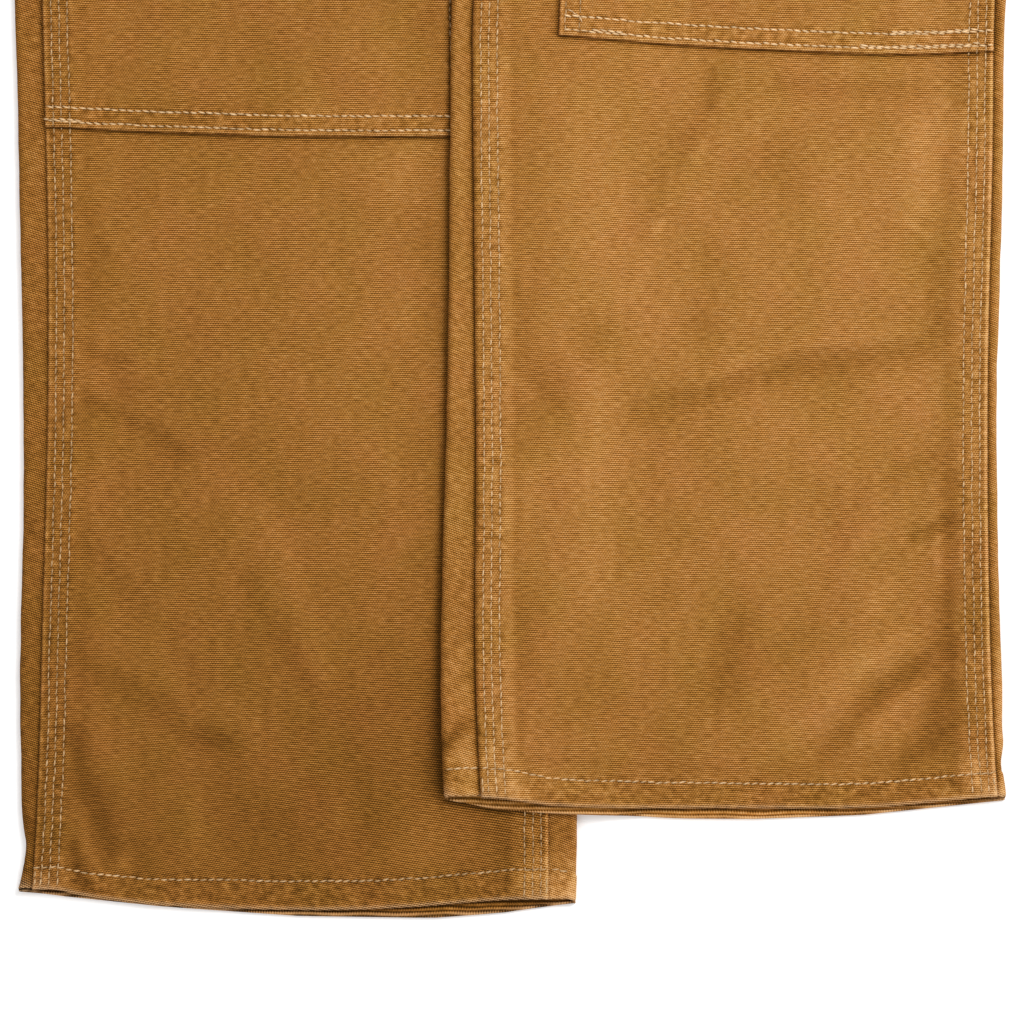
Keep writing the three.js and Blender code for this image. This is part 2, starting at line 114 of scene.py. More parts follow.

# The canvas
# Brown 12 oz cotton duck, a tight plain weave whose ribs run across the legs. Its ridges get a painted
# highlight and its troughs painted shade. All panels are cut from it, each with its own grain, which the UV
# map holds in mm.
RIB_PITCH = 0.90
THREAD_PITCH = 1.14
CANVAS_TONES = [
    (0.00, (0.046, 0.019, 0.003)),
    (0.25, (0.160, 0.063, 0.0095)),
    (0.50, (0.352, 0.137, 0.0215)),
    (0.75, (0.588, 0.260, 0.058)),
    (1.00, (0.850, 0.510, 0.220)),
]
OLIVE_TINT = (0.97, 1.015, 0.90, 1)
RUSSET_TINT = (1.03, 0.98, 1.04, 1)
WORN_THREAD = (0.80, 0.50, 0.26, 1)


class Nodes:
    """A material's nodes, with a short way to add a sum of two values."""

    def __init__(self, name):
        self.material = bpy.data.materials.new(name)
        self.material.use_nodes = True
        self.tree = self.material.node_tree
        self.shader = self.tree.nodes["Principled BSDF"]

    def add(self, kind, **settings):
        node = self.tree.nodes.new("ShaderNode" + kind)
        for name, value in settings.items():
            setattr(node, name, value)
        return node

    def feed(self, socket, value):
        if isinstance(value, bpy.types.NodeSocket):
            self.tree.links.new(value, socket)
        else:
            socket.default_value = value

    def math(self, operation, first, second=0.0):
        node = self.add("Math", operation=operation)
        self.feed(node.inputs[0], first)
        self.feed(node.inputs[1], second)
        return node.outputs[0]

    def attribute(self, name):
        return self.add("Attribute", attribute_name=name).outputs["Fac"]

    def noise(self, vector, scale, detail=2.0, roughness=0.5):
        node = self.add("TexNoise")
        self.feed(node.inputs["Vector"], vector)
        node.inputs["Scale"].default_value = scale
        node.inputs["Detail"].default_value = detail
        node.inputs["Roughness"].default_value = roughness
        return node.outputs["Fac"]

    def ramp(self, value, tones):
        node = self.add("ValToRGB")
        elements = node.color_ramp.elements
        for spare in list(elements)[1:]:
            elements.remove(spare)
        elements[0].position = tones[0][0]
        elements[0].color = (*tones[0][1], 1)
        for position, colour in tones[1:]:
            elements.new(position).color = (*colour, 1)
        self.feed(node.inputs["Fac"], value)
        return node.outputs["Color"]


def canvas_material():
    m = Nodes("duck_canvas")
    grain = m.add("UVMap", uv_map="grain").outputs["UV"]
    stretched = m.add("Mapping")
    m.feed(stretched.inputs["Vector"], grain)
    stretched.inputs["Scale"].default_value = (0.22, 1.0, 1.0)
    split = m.add("SeparateXYZ")
    m.feed(split.inputs[0], grain)
    sway = m.math("MULTIPLY", m.math("SUBTRACT", m.noise(grain, 0.03, 1.0), 0.5), 1.6)
    across = m.math("MULTIPLY", split.outputs["X"], 2 * math.pi / THREAD_PITCH)
    along = m.math("MULTIPLY", m.math("ADD", split.outputs["Y"], sway), math.pi / RIB_PITCH)
    ribs = m.math("SINE", m.math("MULTIPLY", along, 2.0))
    rising = m.math("SINE", m.math("SUBTRACT", along, across))
    falling = m.math("SINE", m.math("ADD", along, across))
    weave = m.math("ADD", m.math("MULTIPLY", ribs, 0.58), m.math("MULTIPLY", rising, 0.24))
    weave = m.math("ADD", weave, m.math("MULTIPLY", falling, 0.18))
    slubs = m.math("SUBTRACT", m.noise(stretched.outputs["Vector"], 1.1, 2.0), 0.5)
    fuzz = m.math("SUBTRACT", m.noise(grain, 1.9, 2.0, 0.7), 0.5)
    clouds = m.math("SUBTRACT", m.noise(grain, 0.028, 3.0, 0.6), 0.5)
    pucker = m.math("MULTIPLY", m.math("SUBTRACT", m.noise(grain, 0.30, 1.0), 0.5), m.attribute("pucker"))
    tone = m.math("ADD", m.attribute("tone"), 0.5)
    tone = m.math("ADD", tone, m.math("MULTIPLY", clouds, 0.16))
    tone = m.math("ADD", tone, m.math("MULTIPLY", pucker, 0.55))
    tone = m.math("ADD", tone, m.math("MULTIPLY", weave, 0.45))
    tone = m.math("ADD", tone, m.math("MULTIPLY", slubs, 0.50))
    tone = m.math("ADD", tone, m.math("MULTIPLY", fuzz, 0.50))
    colour = m.ramp(tone, CANVAS_TONES)
    faded = m.math("MULTIPLY", m.math("SUBTRACT", m.noise(grain, 0.03, 3.0, 0.6), 0.5), 2.6)
    tint = m.add("Mix", data_type="RGBA", clamp_factor=True)
    m.feed(tint.inputs["Factor"], m.math("ADD", faded, 0.5))
    m.feed(tint.inputs["A"], OLIVE_TINT)
    m.feed(tint.inputs["B"], RUSSET_TINT)
    tinted = m.add("Mix", data_type="RGBA", blend_type="MULTIPLY")
    m.feed(tinted.inputs["Factor"], 1.0)
    m.feed(tinted.inputs["A"], colour)
    m.feed(tinted.inputs["B"], tint.outputs["Result"])
    raised = m.math("ADD", m.math("MULTIPLY", m.math("ADD", weave, fuzz), 1.5), 0.75)
    chafe = m.math("MULTIPLY", m.attribute("wear"), raised)
    worn = m.add("Mix", data_type="RGBA", clamp_factor=True)
    m.feed(worn.inputs["Factor"], chafe)
    m.feed(worn.inputs["A"], tinted.outputs["Result"])
    m.feed(worn.inputs["B"], WORN_THREAD)
    m.feed(m.shader.inputs["Base Color"], worn.outputs["Result"])
    height = m.math("ADD", weave, m.math("MULTIPLY", m.math("ADD", slubs, fuzz), 1.6))
    height = m.math("ADD", height, m.math("MULTIPLY", pucker, 6.0))
    bump = m.add("Bump")
    bump.inputs["Strength"].default_value = 0.55
    bump.inputs["Distance"].default_value = 0.00022
    m.feed(bump.inputs["Height"], height)
    m.feed(m.shader.inputs["Normal"], bump.outputs["Normal"])
    m.shader.inputs["Roughness"].default_value = 0.88
    m.shader.inputs["Specular IOR Level"].default_value = 0.03
    m.shader.inputs["Sheen Weight"].default_value = 0.01
    m.shader.inputs["Sheen Roughness"].default_value = 0.5
    return m.material


CANVAS = canvas_material()

# The fronts
# Each front is one long panel. Its sides are folded under and felled over the back panel with three rows of
# thread, which leaves a raised edge. Its hem is turned up and stitched once. Soft creases cross it.
CLOTH = 0.9
SEAM_ROWS = (3.6, 7.1, 10.8)
ALLOWANCE = 16.6
EDGE_ZONE = 30.0
TO_MM = Matrix.Scale(1000, 4) @ Matrix.Translation((-view_x, -view_y, 0))
TO_METRES = TO_MM.inverted()


class Solid:
    """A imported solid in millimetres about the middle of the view: its edges, and its heights."""

    def __init__(self, node):
        mesh = bmesh.new()
        mesh.from_mesh(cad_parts[node].data)
        bmesh.ops.remove_doubles(mesh, verts=mesh.verts, dist=1e-6)
        bmesh.ops.transform(mesh, matrix=TO_MM, verts=mesh.verts)
        self.tree = BVHTree.FromBMesh(mesh)
        self.edges = [tuple(v.co.copy() for v in edge.verts) for edge in mesh.edges]
        self.low = [min(v.co[i] for v in mesh.verts) for i in range(3)]
        self.high = [max(v.co[i] for v in mesh.verts) for i in range(3)]
        mesh.free()

    def height(self, x, y, below=False):
        up = 1 if below else -1
        start, way = Vector((x, y, -50 * up)), Vector((0, 0, up))
        hit = self.tree.ray_cast(start, way)[0]
        return hit.z if hit else self.tree.find_nearest(Vector((x, y, 3)))[0].z

    def reach(self, axis, at):
        """The least and greatest place along the other axis, where the solid crosses a place on this one."""
        other = 1 - axis
        found = []
        for a, b in self.edges:
            if (a[axis] - at) * (b[axis] - at) < 0:
                found.append(a[other] + (at - a[axis]) / (b[axis] - a[axis]) * (b[other] - a[other]))
        return min(found), max(found)

    def outline(self, axis, low, high, step=3.0):
        """reach() as a function, between two places, and straight on beyond them."""
        count = max(2, round((high - low) / step))
        width = (high - low) / count
        ends = [self.reach(axis, low + width * i) for i in range(count + 1)]

        def at(place):
            i = min(max(int((place - low) / width), 0), count - 1)
            t = (place - low) / width - i
            return tuple(a + t * (b - a) for a, b in zip(ends[i], ends[i + 1]))
        return at


HEM_SLACK = 14.0
WAIST_SLACK = 34.0


class Panel:
    """A leg's panel on its solid: its outer and inner edges, and its lower and upper edges across the leg."""

    def __init__(self, node, out, low_slack=HEM_SLACK, high_slack=WAIST_SLACK):
        self.solid = Solid(node)
        self.out = out
        low, high = self.solid.low[1] + low_slack, self.solid.high[1] - high_slack
        self.across = self.solid.outline(1, low, high)
        self.lower = self.solid.outline(0, *self.clear_of_sides(low, self.solid.low[1]))
        self.upper = self.solid.outline(0, *self.clear_of_sides(high, self.solid.high[1]))

    def clear_of_sides(self, *heights):
        lefts, rights = zip(*(self.across(y) for y in heights))
        return max(lefts) + 0.5, min(rights) - 0.5

    def sides(self, y):
        left, right = self.across(y)
        return (left, right) if self.out < 0 else (right, left)

    def from_outer(self, y, distance):
        return self.sides(y)[0] - self.out * distance

    def column(self, share, shift):
        """The lower and upper ends of a line at a share of the panel's width, shifted inwards."""
        ends = []
        for edge, index, y in ((self.lower, 0, self.solid.low[1]), (self.upper, 1, self.solid.high[1])):
            for _ in range(4):
                outer, inner = self.sides(y)
                y = edge(outer - self.out * (share * abs(inner - outer) + shift))[index]
            ends.append(y)
        return ends


def spaced(*stretches):
    """Places from 0 on, evenly over each stretch, which is its end and its step."""
    places = [0.0]
    for end, step in stretches:
        start = places[-1]
        count = max(1, round((end - start) / step))
        places += [start + (end - start) * (i + 1) / count for i in range(count)]
    return places


def smooth(low, high, value):
    t = min(max((value - low) / (high - low), 0.0), 1.0)
    return t * t * (3 - 2 * t)


def bell(distance, half):
    return math.exp(-((distance / half) ** 2))


# A crease: its line from place to place, half width, how high it stands and how much lighter it is painted.
# The lightness is painted shade in troughs and under folds and painted highlight on ridges; a few light spots
# at the hem corners are wear.
CREASES = {
    "left": [
        ([(8, 199), (8, 32)], 8.5, -0.7, -0.049),
        ([(5, 93), (5, 78)], 4, -0.2, -0.033),
        ([(4, -34), (4, -56), (5, -92)], 4, -0.5, -0.049),
        ([(39, 172), (38, 96)], 11, 0.5, 0.025),
        ([(37, 55), (37, -34)], 7.5, 0.8, 0.05),
        ([(1, 60), (8, 50)], 2, 0.4, 0.05),
        ([(16, 56), (24, 40)], 5.5, -0.5, -0.041),
        ([(88, 192), (86, 178)], 4, -0.6, -0.066),
        ([(99, 191), (90, 173)], 2, 0.3, 0.04),
        ([(85, 162), (81, 155)], 1.6, 0.5, 0.13),
        ([(80, 154), (68, 136)], 2.5, 0.3, 0.03),
        ([(66, 128), (63, 123)], 1.6, 0.4, 0.16),
        ([(60, 112), (52, 93)], 2.5, 0.3, 0.03),
        ([(93, 188), (76, 160), (60, 130)], 9, -0.4, -0.045),
        ([(84, 84), (88, 68)], 6, -0.3, -0.03),
        ([(118, 187), (144, 185), (176, 186)], 5, -0.8, -0.057),
        ([(179, 168), (180, 135)], 7.5, 0.7, 0.085),
        ([(173, 128), (184, 121)], 2, 0.3, 0.08),
        ([(197, 204), (197, 180)], 3, -0.4, -0.055),
        ([(186, 110), (187, 78)], 5, -0.7, -0.066),
        ([(54, 44), (83, 50), (105, 58), (127, 65), (150, 67), (173, 70), (193, 76)], 6, -1.2, -0.088),
        ([(83, 57), (105, 66), (127, 73), (149, 75), (176, 79)], 3, 0.5, 0.035),
        ([(122, 62), (144, 59)], 11.5, -0.4, -0.033),
        ([(78, 36), (83, 14)], 15, -0.3, -0.029),
        ([(194, 65), (193, 14)], 2.5, -0.5, -0.041),
        ([(193, 14), (193, -39), (193, -62)], 4, -0.8, -0.10),
        ([(190, -70), (190, -106)], 8, -1, -0.085),
        ([(177, -11), (192, -4)], 3.5, -0.7, -0.098),
        ([(182, -4), (192, 3)], 2, 0.4, 0.06),
        ([(187, -12), (187, -22)], 2.5, 0.5, 0.09),
        ([(165, -33), (158, -44)], 4, 0.4, 0.06),
        ([(172, -56), (158, -65), (145, -74), (131, -88), (119, -101)], 5.5, 0.9, 0.065),
        ([(192, -62), (174, -69)], 6, -0.8, -0.04),
        ([(177, -71), (163, -81), (151, -93), (138, -107)], 5, -1.3, -0.088),
        ([(184, -75), (167, -86), (154, -100)], 4, 0.6, 0.06),
        ([(191, -78), (182, -99), (171, -111)], 6.5, -0.8, -0.098),
        ([(97, -57), (93, -78)], 8.5, -0.9, -0.10),
        ([(101, -39), (103, -47)], 7, -0.5, -0.049),
        ([(88, -47), (83, -63)], 2.5, 0.3, 0.03),
        ([(39, -78), (65, -100)], 21, -0.4, -0.037),
        ([(72, -34), (63, -39)], 5.5, -0.3, -0.033),
        ([(140, 3), (143, -8)], 8.5, -0.4, -0.037),
        ([(-29, -102), (-22, -94)], 3.6, -0.6, -0.23),
        ([(-26, -78), (-19, -71)], 2.5, -0.3, -0.066),
        ([(-28, -62), (-20, -54)], 2.5, -0.3, -0.057),
        ([(-26, -107), (-19, -100)], 2.5, 0.3, 0.06),
        ([(118, 156), (120, 148)], 11, -0.3, -0.055),
        ([(36, 78), (35, 68)], 9, -0.2, -0.045),
        ([(104, -73), (144, -42)], 8, -0.3, -0.035),
        ([(168, 14), (188, 26)], 6, -0.4, -0.045),
        ([(12, -5), (11, -75)], 5, -0.2, -0.03),
        ([(0, -30), (0, -105)], 3.5, 0.2, 0.035),
        ([(203, -12), (203, -58)], 4, 0.0, -0.09),
        ([(-1, 8), (-2, -6)], 2, 0.2, 0.08),
        ([(-23, -60), (-23, -108)], 6, 0.2, 0.05),
        ([(-10, -109), (3, -122)], 6, 0.2, 0.17),
        ([(-9, 224), (-6, 206)], 6, 0.0, -0.04),
        ([(84, 222), (128, 222)], 8, -0.2, -0.035),
        ([(176, 224), (178, 206)], 7, 0.2, 0.03),
        ([(8, 66), (22, 50)], 8, -0.2, -0.055),
        ([(50, 648), (115, 664), (185, 704)], 16, -1.2, -0.045),
        ([(45, 606), (110, 612), (175, 636)], 14, 1.0, 0.03),
        ([(70, 455), (130, 462), (205, 448)], 15, -1.1, -0.04),
        ([(80, 372), (150, 352), (215, 360)], 14, 0.9, 0.03),
        ([(150, 560), (172, 500), (182, 440)], 15, 0.8, 0.03),
        ([(90, 300), (130, 318), (190, 305)], 13, -0.8, -0.035),
        ([(20, 66), (24, 58)], 3.5, -0.2, -0.05),
        ([(-20, -108), (-14, -122)], 4, 0.0, 0.14),
        ([(-31, -104), (-31, -118)], 3.5, 0.0, -0.06),
        ([(-9, -119), (1, -123)], 4, 0.0, 0.09),
        ([(12, -117), (39, -121)], 4, 0.0, 0.07),
        ([(-29, -122), (-19, -125)], 3.5, 0.0, 0.13),
        ([(15, -122), (52, -128)], 3.5, 0.0, 0.05),
        ([(8, -108.5), (47, -111), (91, -113)], 2.2, -0.2, -0.045),
        ([(190, -125), (216, -127)], 3, 0.0, 0.14),
        ([(191, 76), (204, 76)], 5, 0.0, 0.05),
        ([(203, 60), (203, 20)], 3.5, 0.0, 0.035),
        ([(199, 132), (205, 106)], 4, 0.0, 0.05),
        ([(3, 224), (20, 210)], 13, 0.0, -0.05),
        ([(213, 225), (213, 206)], 3, 0.0, -0.12),
        ([(191, 79), (192, 73)], 4, 0.3, 0.05),
        ([(204, 226), (204, 212)], 5, 0.0, -0.09),
        ([(134, 200), (137, 198)], 5, -0.1, -0.06),
        ([(190.5, 180), (190.5, 163)], 3.5, 0.1, 0.06),
        ([(113, 65), (184, 76)], 4.5, 0.1, 0.03),
        ([(47, 46), (69, 46)], 4, 0.1, 0.04),
        ([(118, -100), (144, -74)], 4, -0.1, -0.03),
        ([(135, -92), (157, -67)], 4, 0.1, 0.035),
        ([(153, -86), (182, -65)], 4, -0.2, -0.045),
        ([(176, -109), (197, -91)], 5, -0.2, -0.05),
        ([(191, -82), (191, -90)], 4, 0.1, 0.05),
        ([(62, -6), (98, -20)], 7, -0.1, -0.025),
        ([(98, 140), (104, 134)], 8, 0.0, -0.03),
        ([(138, 136), (145, 132)], 8, 0.1, 0.035),
        ([(17, 12), (17, 6)], 4, -0.2, -0.05),
        ([(63, 37), (64, 5)], 7, -0.2, -0.045),
        ([(88, 112), (84, 84)], 9, -0.2, -0.035),
        ([(156, 10), (140, -30)], 5, -0.3, -0.035),
        ([(5, -45), (8, -66)], 3.5, -0.2, -0.05),
        ([(188, -38), (188, -58)], 4, -0.4, -0.08),
        ([(147, -62), (164, -68)], 5, 0.3, 0.04),
        ([(203, -114), (214, -124)], 6, 0.0, 0.25),
        ([(214, -62), (214, -105)], 2.5, 0.0, 0.14),
        ([(91, -114.4), (135, -113.5), (162, -111.8)], 2.6, -0.3, -0.03),
    ],
    "right": [
        ([(-190, 137), (-183, 126), (-179, 114)], 2.5, -0.4, -0.041),
        ([(-181, 112), (-181, 88)], 6, -0.4, -0.041),
        ([(-188, 74), (-183, 69), (-170, 67)], 2.5, -0.5, -0.066),
        ([(-172, 53), (-161, 56)], 2.5, -0.3, -0.041),
        ([(-185, 48), (-172, 41), (-159, 36), (-152, 29), (-145, 26)], 4, -1, -0.07),
        ([(-145, 26), (-115, 29)], 5.5, -0.4, -0.029),
        ([(-186, -15), (-175, -28), (-163, -44)], 5.5, -0.7, -0.053),
        ([(-193, -58), (-183, -70), (-168, -78), (-155, -88), (-142, -98), (-128, -101)], 5.5, -0.8, -0.061),
        ([(-135, -99), (-121, -103)], 5, -0.5, -0.049),
        ([(-153, -80), (-146, -88)], 2, -0.3, -0.041),
        ([(-115, -30), (-106, -48), (-98, -65), (-89, -79)], 4, -0.9, -0.057),
        ([(-110, -1), (-95, -34), (-82, -72)], 6, 0.8, 0.05),
        ([(-121, 5), (-120, -12)], 4.5, 0.3, 0.03),
        ([(-192, -98), (-188, -113), (-185, -124), (-181, -136), (-177, -149)], 5, -1.3, -0.11),
        ([(-181, -128), (-177, -146)], 6.5, -0.4, -0.03),
        ([(-190, -132), (-187, -148)], 4, 0.6, 0.06),
        ([(-193, -147), (-190, -156), (-187, -166)], 2.5, -0.8, -0.131),
        ([(-183, -151), (-182, -162)], 3, 0.3, 0.06),
        ([(-172, -152), (-171, -161)], 2.5, 0.2, 0.05),
        ([(-164, -147), (-163, -157)], 5, -0.4, -0.074),
        ([(-139, -127), (-140, -149)], 5.5, 0.4, 0.05),
        ([(-120, -122), (-98, -144)], 18, -0.5, -0.057),
        ([(-73, -100), (-62, -144)], 21, -0.5, -0.049),
        ([(-45, 159), (-51, 142)], 9, 0.4, 0.07),
        ([(-44, 100), (-45, 84)], 7, 0.3, 0.05),
        ([(-53, 25), (-53, 10)], 6, 0.3, 0.03),
        ([(-122, -85), (-115, -95)], 5.5, 0.3, 0.03),
        ([(-212, -3), (-211, -9)], 2.5, -0.3, -0.082),
        ([(-211, -136), (-211, -143)], 2.5, -0.3, -0.082),
        ([(-209, 159), (-209, 144)], 2.5, 0.2, 0.05),
        ([(-43, -146), (-45, -150)], 15, 0.4, 0.085),
        ([(12, -158), (26, -171)], 8, 0.0, 0.25),
        ([(-62, 225), (-52, 196)], 15, 0.2, 0.035),
        ([(-68, 160), (-62, 60)], 28, 0.2, 0.035),
        ([(-60, 40), (-66, -60)], 22, 0.2, 0.02),
        ([(-90, 173), (-36, 173)], 4.5, 0.2, 0.045),
        ([(-175, 177), (-108, 177)], 4.5, 0.0, -0.035),
        ([(-150, 50), (-145, 10)], 22, -0.2, -0.015),
        ([(-150, -50), (-138, -78)], 5, -0.3, -0.045),
        ([(-93, 208), (-88, 180)], 6, 0.2, 0.035),
        ([(-45, 640), (-110, 662), (-190, 690)], 16, -1.2, -0.045),
        ([(-40, 592), (-115, 606), (-180, 620)], 14, 0.9, 0.03),
        ([(-60, 476), (-120, 468), (-210, 484)], 15, -1.0, -0.04),
        ([(-70, 398), (-140, 380), (-205, 392)], 14, 0.8, 0.03),
        ([(-140, 570), (-160, 520), (-168, 450)], 15, 0.7, 0.025),
        ([(-60, 322), (-115, 306), (-180, 318)], 13, -0.7, -0.03),
        ([(-173, 64), (-170, 50)], 7, -0.2, -0.035),
        ([(-170, 18), (-170, 10)], 5, -0.1, -0.03),
        ([(-40, 115), (-36, 85)], 12, 0.0, -0.025),
        ([(-108, -34), (-104, -46)], 5, 0.2, 0.045),
        ([(-73, -118), (-70, -152)], 6, 0.1, 0.03),
        ([(-57, -64), (-50, -84)], 6, -0.1, -0.03),
        ([(-126, -144), (-116, -152)], 5, -0.1, -0.03),
        ([(-10, -138), (-4, -150)], 6, -0.1, -0.05),
        ([(-206, -162), (-203, -168)], 5, 0.0, 0.12),
        ([(-198, -152), (-197, -161)], 4, 0.0, 0.10),
        ([(-169, -152), (-169, -156)], 4, 0.0, 0.05),
        ([(24, -152), (27, -170)], 4, 0.0, 0.14),
        ([(3, -164), (14, -168)], 4, 0.0, 0.10),
        ([(-37, -70), (-38, -95)], 5, -0.1, -0.04),
        ([(-155, 30), (-154, 20)], 8, -0.2, -0.03),
        ([(-140, 88), (-140, 78)], 9, -0.2, -0.035),
        ([(-162, 146), (-158, 134)], 9, -0.2, -0.03),
        ([(-80, -98), (-77, -140)], 5, 0.2, 0.035),
        ([(-180, -93), (-170, -118)], 7, 0.2, 0.04),
        ([(-176, 66), (-173, 62)], 5, -0.2, -0.04),
        ([(-165, -60), (-110, -105)], 24, 0.2, 0.03),
    ],
}


def from_line(line, x, y):
    """A place's distance from a line of places."""
    nearest = math.inf
    for (ax, ay), (bx, by) in zip(line, line[1:]):
        along_x, along_y = bx - ax, by - ay
        t = ((x - ax) * along_x + (y - ay) * along_y) / (along_x ** 2 + along_y ** 2)
        t = min(max(t, 0.0), 1.0)
        nearest = min(nearest, math.hypot(x - ax - t * along_x, y - ay - t * along_y))
    return nearest


def crease_at(side, x, y):
    """How much the leg's creases raise the cloth at a place, and the painted light and shade they put on it.
    """
    rise = tone = 0.0
    for line, half, height, painted_light in CREASES[side]:
        xs, ys = zip(*line)
        reach = 2.6 * half
        if min(xs) - reach < x < max(xs) + reach and min(ys) - reach < y < max(ys) + reach:
            near = bell(from_line(line, x, y), half)
            rise += height * near
            tone += painted_light * near
    rise += 0.45 * noise.noise(Vector((x / 55, y / 70, 3))) + 0.16 * noise.noise(Vector((x / 16, y / 22, 8)))
    return max(rise, -1.4), tone


# Painted light and shade on each seam: on its allowance, its folded edge, the wrapped cloth beside it, and
# that cloth's fold.
SEAM_PAINTED_LIGHT = {
    ("right", "outer"): (-0.01, 0.14, -0.04, -0.13),
    ("right", "inner"): (0.04, 0.30, 0.05, 0.20),
    ("left", "outer"): (0.0, 0.33, -0.045, 0.17),
    ("left", "inner"): (0.035, -0.22, -0.015, -0.13),
}


def felled(distance, side, seam):
    """A felled seam's relief and painted light, by the distance from its folded edge.

    It has a round edge, a groove at each row, and a step down where the turned allowance ends. The round edge
    gets a painted highlight, and the grooves and the step get painted shade.
    """
    allowance, edge = SEAM_PAINTED_LIGHT[side, seam][:2]
    layered = smooth(ALLOWANCE + 1, ALLOWANCE - 1, distance)
    relief = -0.9 * bell(distance, 0.5) + 0.45 * bell(distance - 1.1, 0.75) + 0.35 * layered
    relief -= sum(0.32 * bell(distance - row, 0.55) for row in SEAM_ROWS)
    tone = allowance * layered + edge * bell(distance - 0.9, 0.65) - 0.06 * bell(distance - 2.5, 0.7)
    tone -= sum(0.11 * bell(distance - row, 0.75) for row in SEAM_ROWS)
    tone -= 0.04 * bell(distance - ALLOWANCE - 1.8, 2)
    return relief, tone


def sewn(distance, reach):
    """How much the cloth puckers: fully from an edge in to its last row of stitches."""
    return smooth(reach + 2, reach - 1, distance)


def turned(distance, rows, high=0.3):
    """A turned and stitched edge's relief: a round edge, then a groove at each row."""
    return high * bell(distance - 1.4, 1.2) - 0.8 * bell(distance, 0.5) \
        - sum(0.34 * bell(distance - row, 0.55) for row in rows)


HEM_DEPTH = {
    "right": [(0, 9.7), (0.16, 10.9), (0.4, 12.8), (0.85, 12.6), (0.93, 13.3), (1, 13.3)],
    "left": [(0, 10.7), (0.5, 11.0), (0.87, 12.3), (0.94, 13.4), (1, 13.4)],
}


def hem_depth(side, share):
    rows = HEM_DEPTH[side]
    for (a, low), (b, high) in zip(rows, rows[1:]):
        if share <= b:
            return low + (high - low) * max(share - a, 0) / (b - a)
    return rows[-1][1]


ROPE_PITCH = 18


def hem(distance, depth, along, band_tone=-0.02):
    """A hem's relief and painted light: turned up, stitched once, and roped below the stitches, with painted
    light and shade along its roping, a painted highlight on its rolled edge, and painted shade at and just
    above its row of stitches.
    """
    band = smooth(depth + 0.6, depth - 1.2, distance)
    uneven = 3 * noise.noise(Vector((along / 30, 2, 5)))
    rope = math.sin(2 * math.pi * (along + 0.3 * distance) / ROPE_PITCH + uneven)
    rope *= band * smooth(0, 3, distance)
    relief = turned(distance, (depth,), 0.2) + 0.3 * band + 0.28 * rope
    tone = 0.015 * rope + band_tone * band + 0.10 * bell(distance - 1.2, 0.8)
    tone -= 0.035 * bell(distance - depth - 1.8, 1.8) + 0.08 * bell(distance - depth, 0.7)
    return relief, tone


HEM_TONE = {"right": -0.005, "left": -0.06}
# Painted shade for each leg where the light falls off: its base, and how much darker it is painted towards
# its hem.
LEG_PAINTED_SHADE = {"right": (-0.06, -0.10), "left": (0.04, -0.055)}


def painted_leg_shade(side, y):
    """Painted shade of the light's falloff on a leg's cloth: each leg is painted its own shade, and darker
    towards its hem.
    """
    base, lower = LEG_PAINTED_SHADE[side]
    return base + lower * smooth(90, -150, y)


def shell(name, mesh, node):
    """A finished cloth piece in metres, with its thickness, on its solid."""
    bmesh.ops.transform(mesh, matrix=TO_METRES, verts=mesh.verts)
    for face in mesh.faces:
        face.smooth = True
    data = bpy.data.meshes.new(name)
    mesh.to_mesh(data)
    mesh.free()
    piece = link(data, name)
    data.materials.append(CANVAS)
    wall = piece.modifiers.new("cloth", "SOLIDIFY")
    wall.thickness = CLOTH / 1000
    wall.offset = -1
    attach(piece, "root")
    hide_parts(node)
    return piece


class Sheet:
    """A cloth grid: rows by columns of places, with each point's place kept for its relief and its grain."""

    def __init__(self, columns, rows):
        self.mesh = bmesh.new()
        bmesh.ops.create_grid(self.mesh, x_segments=len(columns) - 1, y_segments=len(rows) - 1, size=0.5)
        self.mesh.verts.ensure_lookup_table()
        self.tone = self.mesh.verts.layers.float.new("tone")
        self.wear = self.mesh.verts.layers.float.new("wear")
        self.pucker = self.mesh.verts.layers.float.new("pucker")
        self.spots = []
        for vert in self.mesh.verts:
            i = round((vert.co.x + 0.5) * (len(columns) - 1))
            j = round((vert.co.y + 0.5) * (len(rows) - 1))
            self.spots.append((i, j))

    def place(self, where):
        """Puts every point at where(i, j)."""
        for vert, (i, j) in zip(self.mesh.verts, self.spots):
            vert.co = where(i, j)
        self.mesh.normal_update()

    def face_up(self, upward):
        if upward.normal.z < 0:
            bmesh.ops.reverse_faces(self.mesh, faces=self.mesh.faces)
        self.mesh.normal_update()

    def even_out(self, times):
        for _ in range(times):
            bmesh.ops.smooth_vert(self.mesh, verts=self.mesh.verts, factor=0.5, use_axis_z=True)

    def finish(self, relief):
        """Raises each point by relief(i, j, place), which also gives its painted light and shade, wear and
        pucker.
        """
        self.mesh.normal_update()
        normals = [vert.normal.copy() for vert in self.mesh.verts]
        for vert, (i, j), normal in zip(self.mesh.verts, self.spots, normals):
            rise, vert[self.tone], vert[self.wear], vert[self.pucker] = relief(i, j, vert.co)
            vert.co += normal * rise

    def lay_grain(self, where):
        """The grain's place at each point, in millimetres: across the threads, then along them."""
        uv = self.mesh.loops.layers.uv.new("grain")
        for vert, (i, j) in zip(self.mesh.verts, self.spots):
            for loop in vert.link_loops:
                loop[uv].uv = where(i, j, vert.co)


GRAIN_TILT = {"right": (0.02, 0.17), "left": (0.035, 0.01)}
VISIBLE_TOP = 232.0


def front_grain(side, place):
    """The grain at a place: its ribs slope across the leg, and more so near the hem."""
    tilt, near_hem = GRAIN_TILT[side]
    across = place.x - legs[side]["out"] * 100
    slope = tilt + near_hem * smooth(-40, -190, place.y)
    return Vector((across - tilt * place.y, place.y + slope * across))


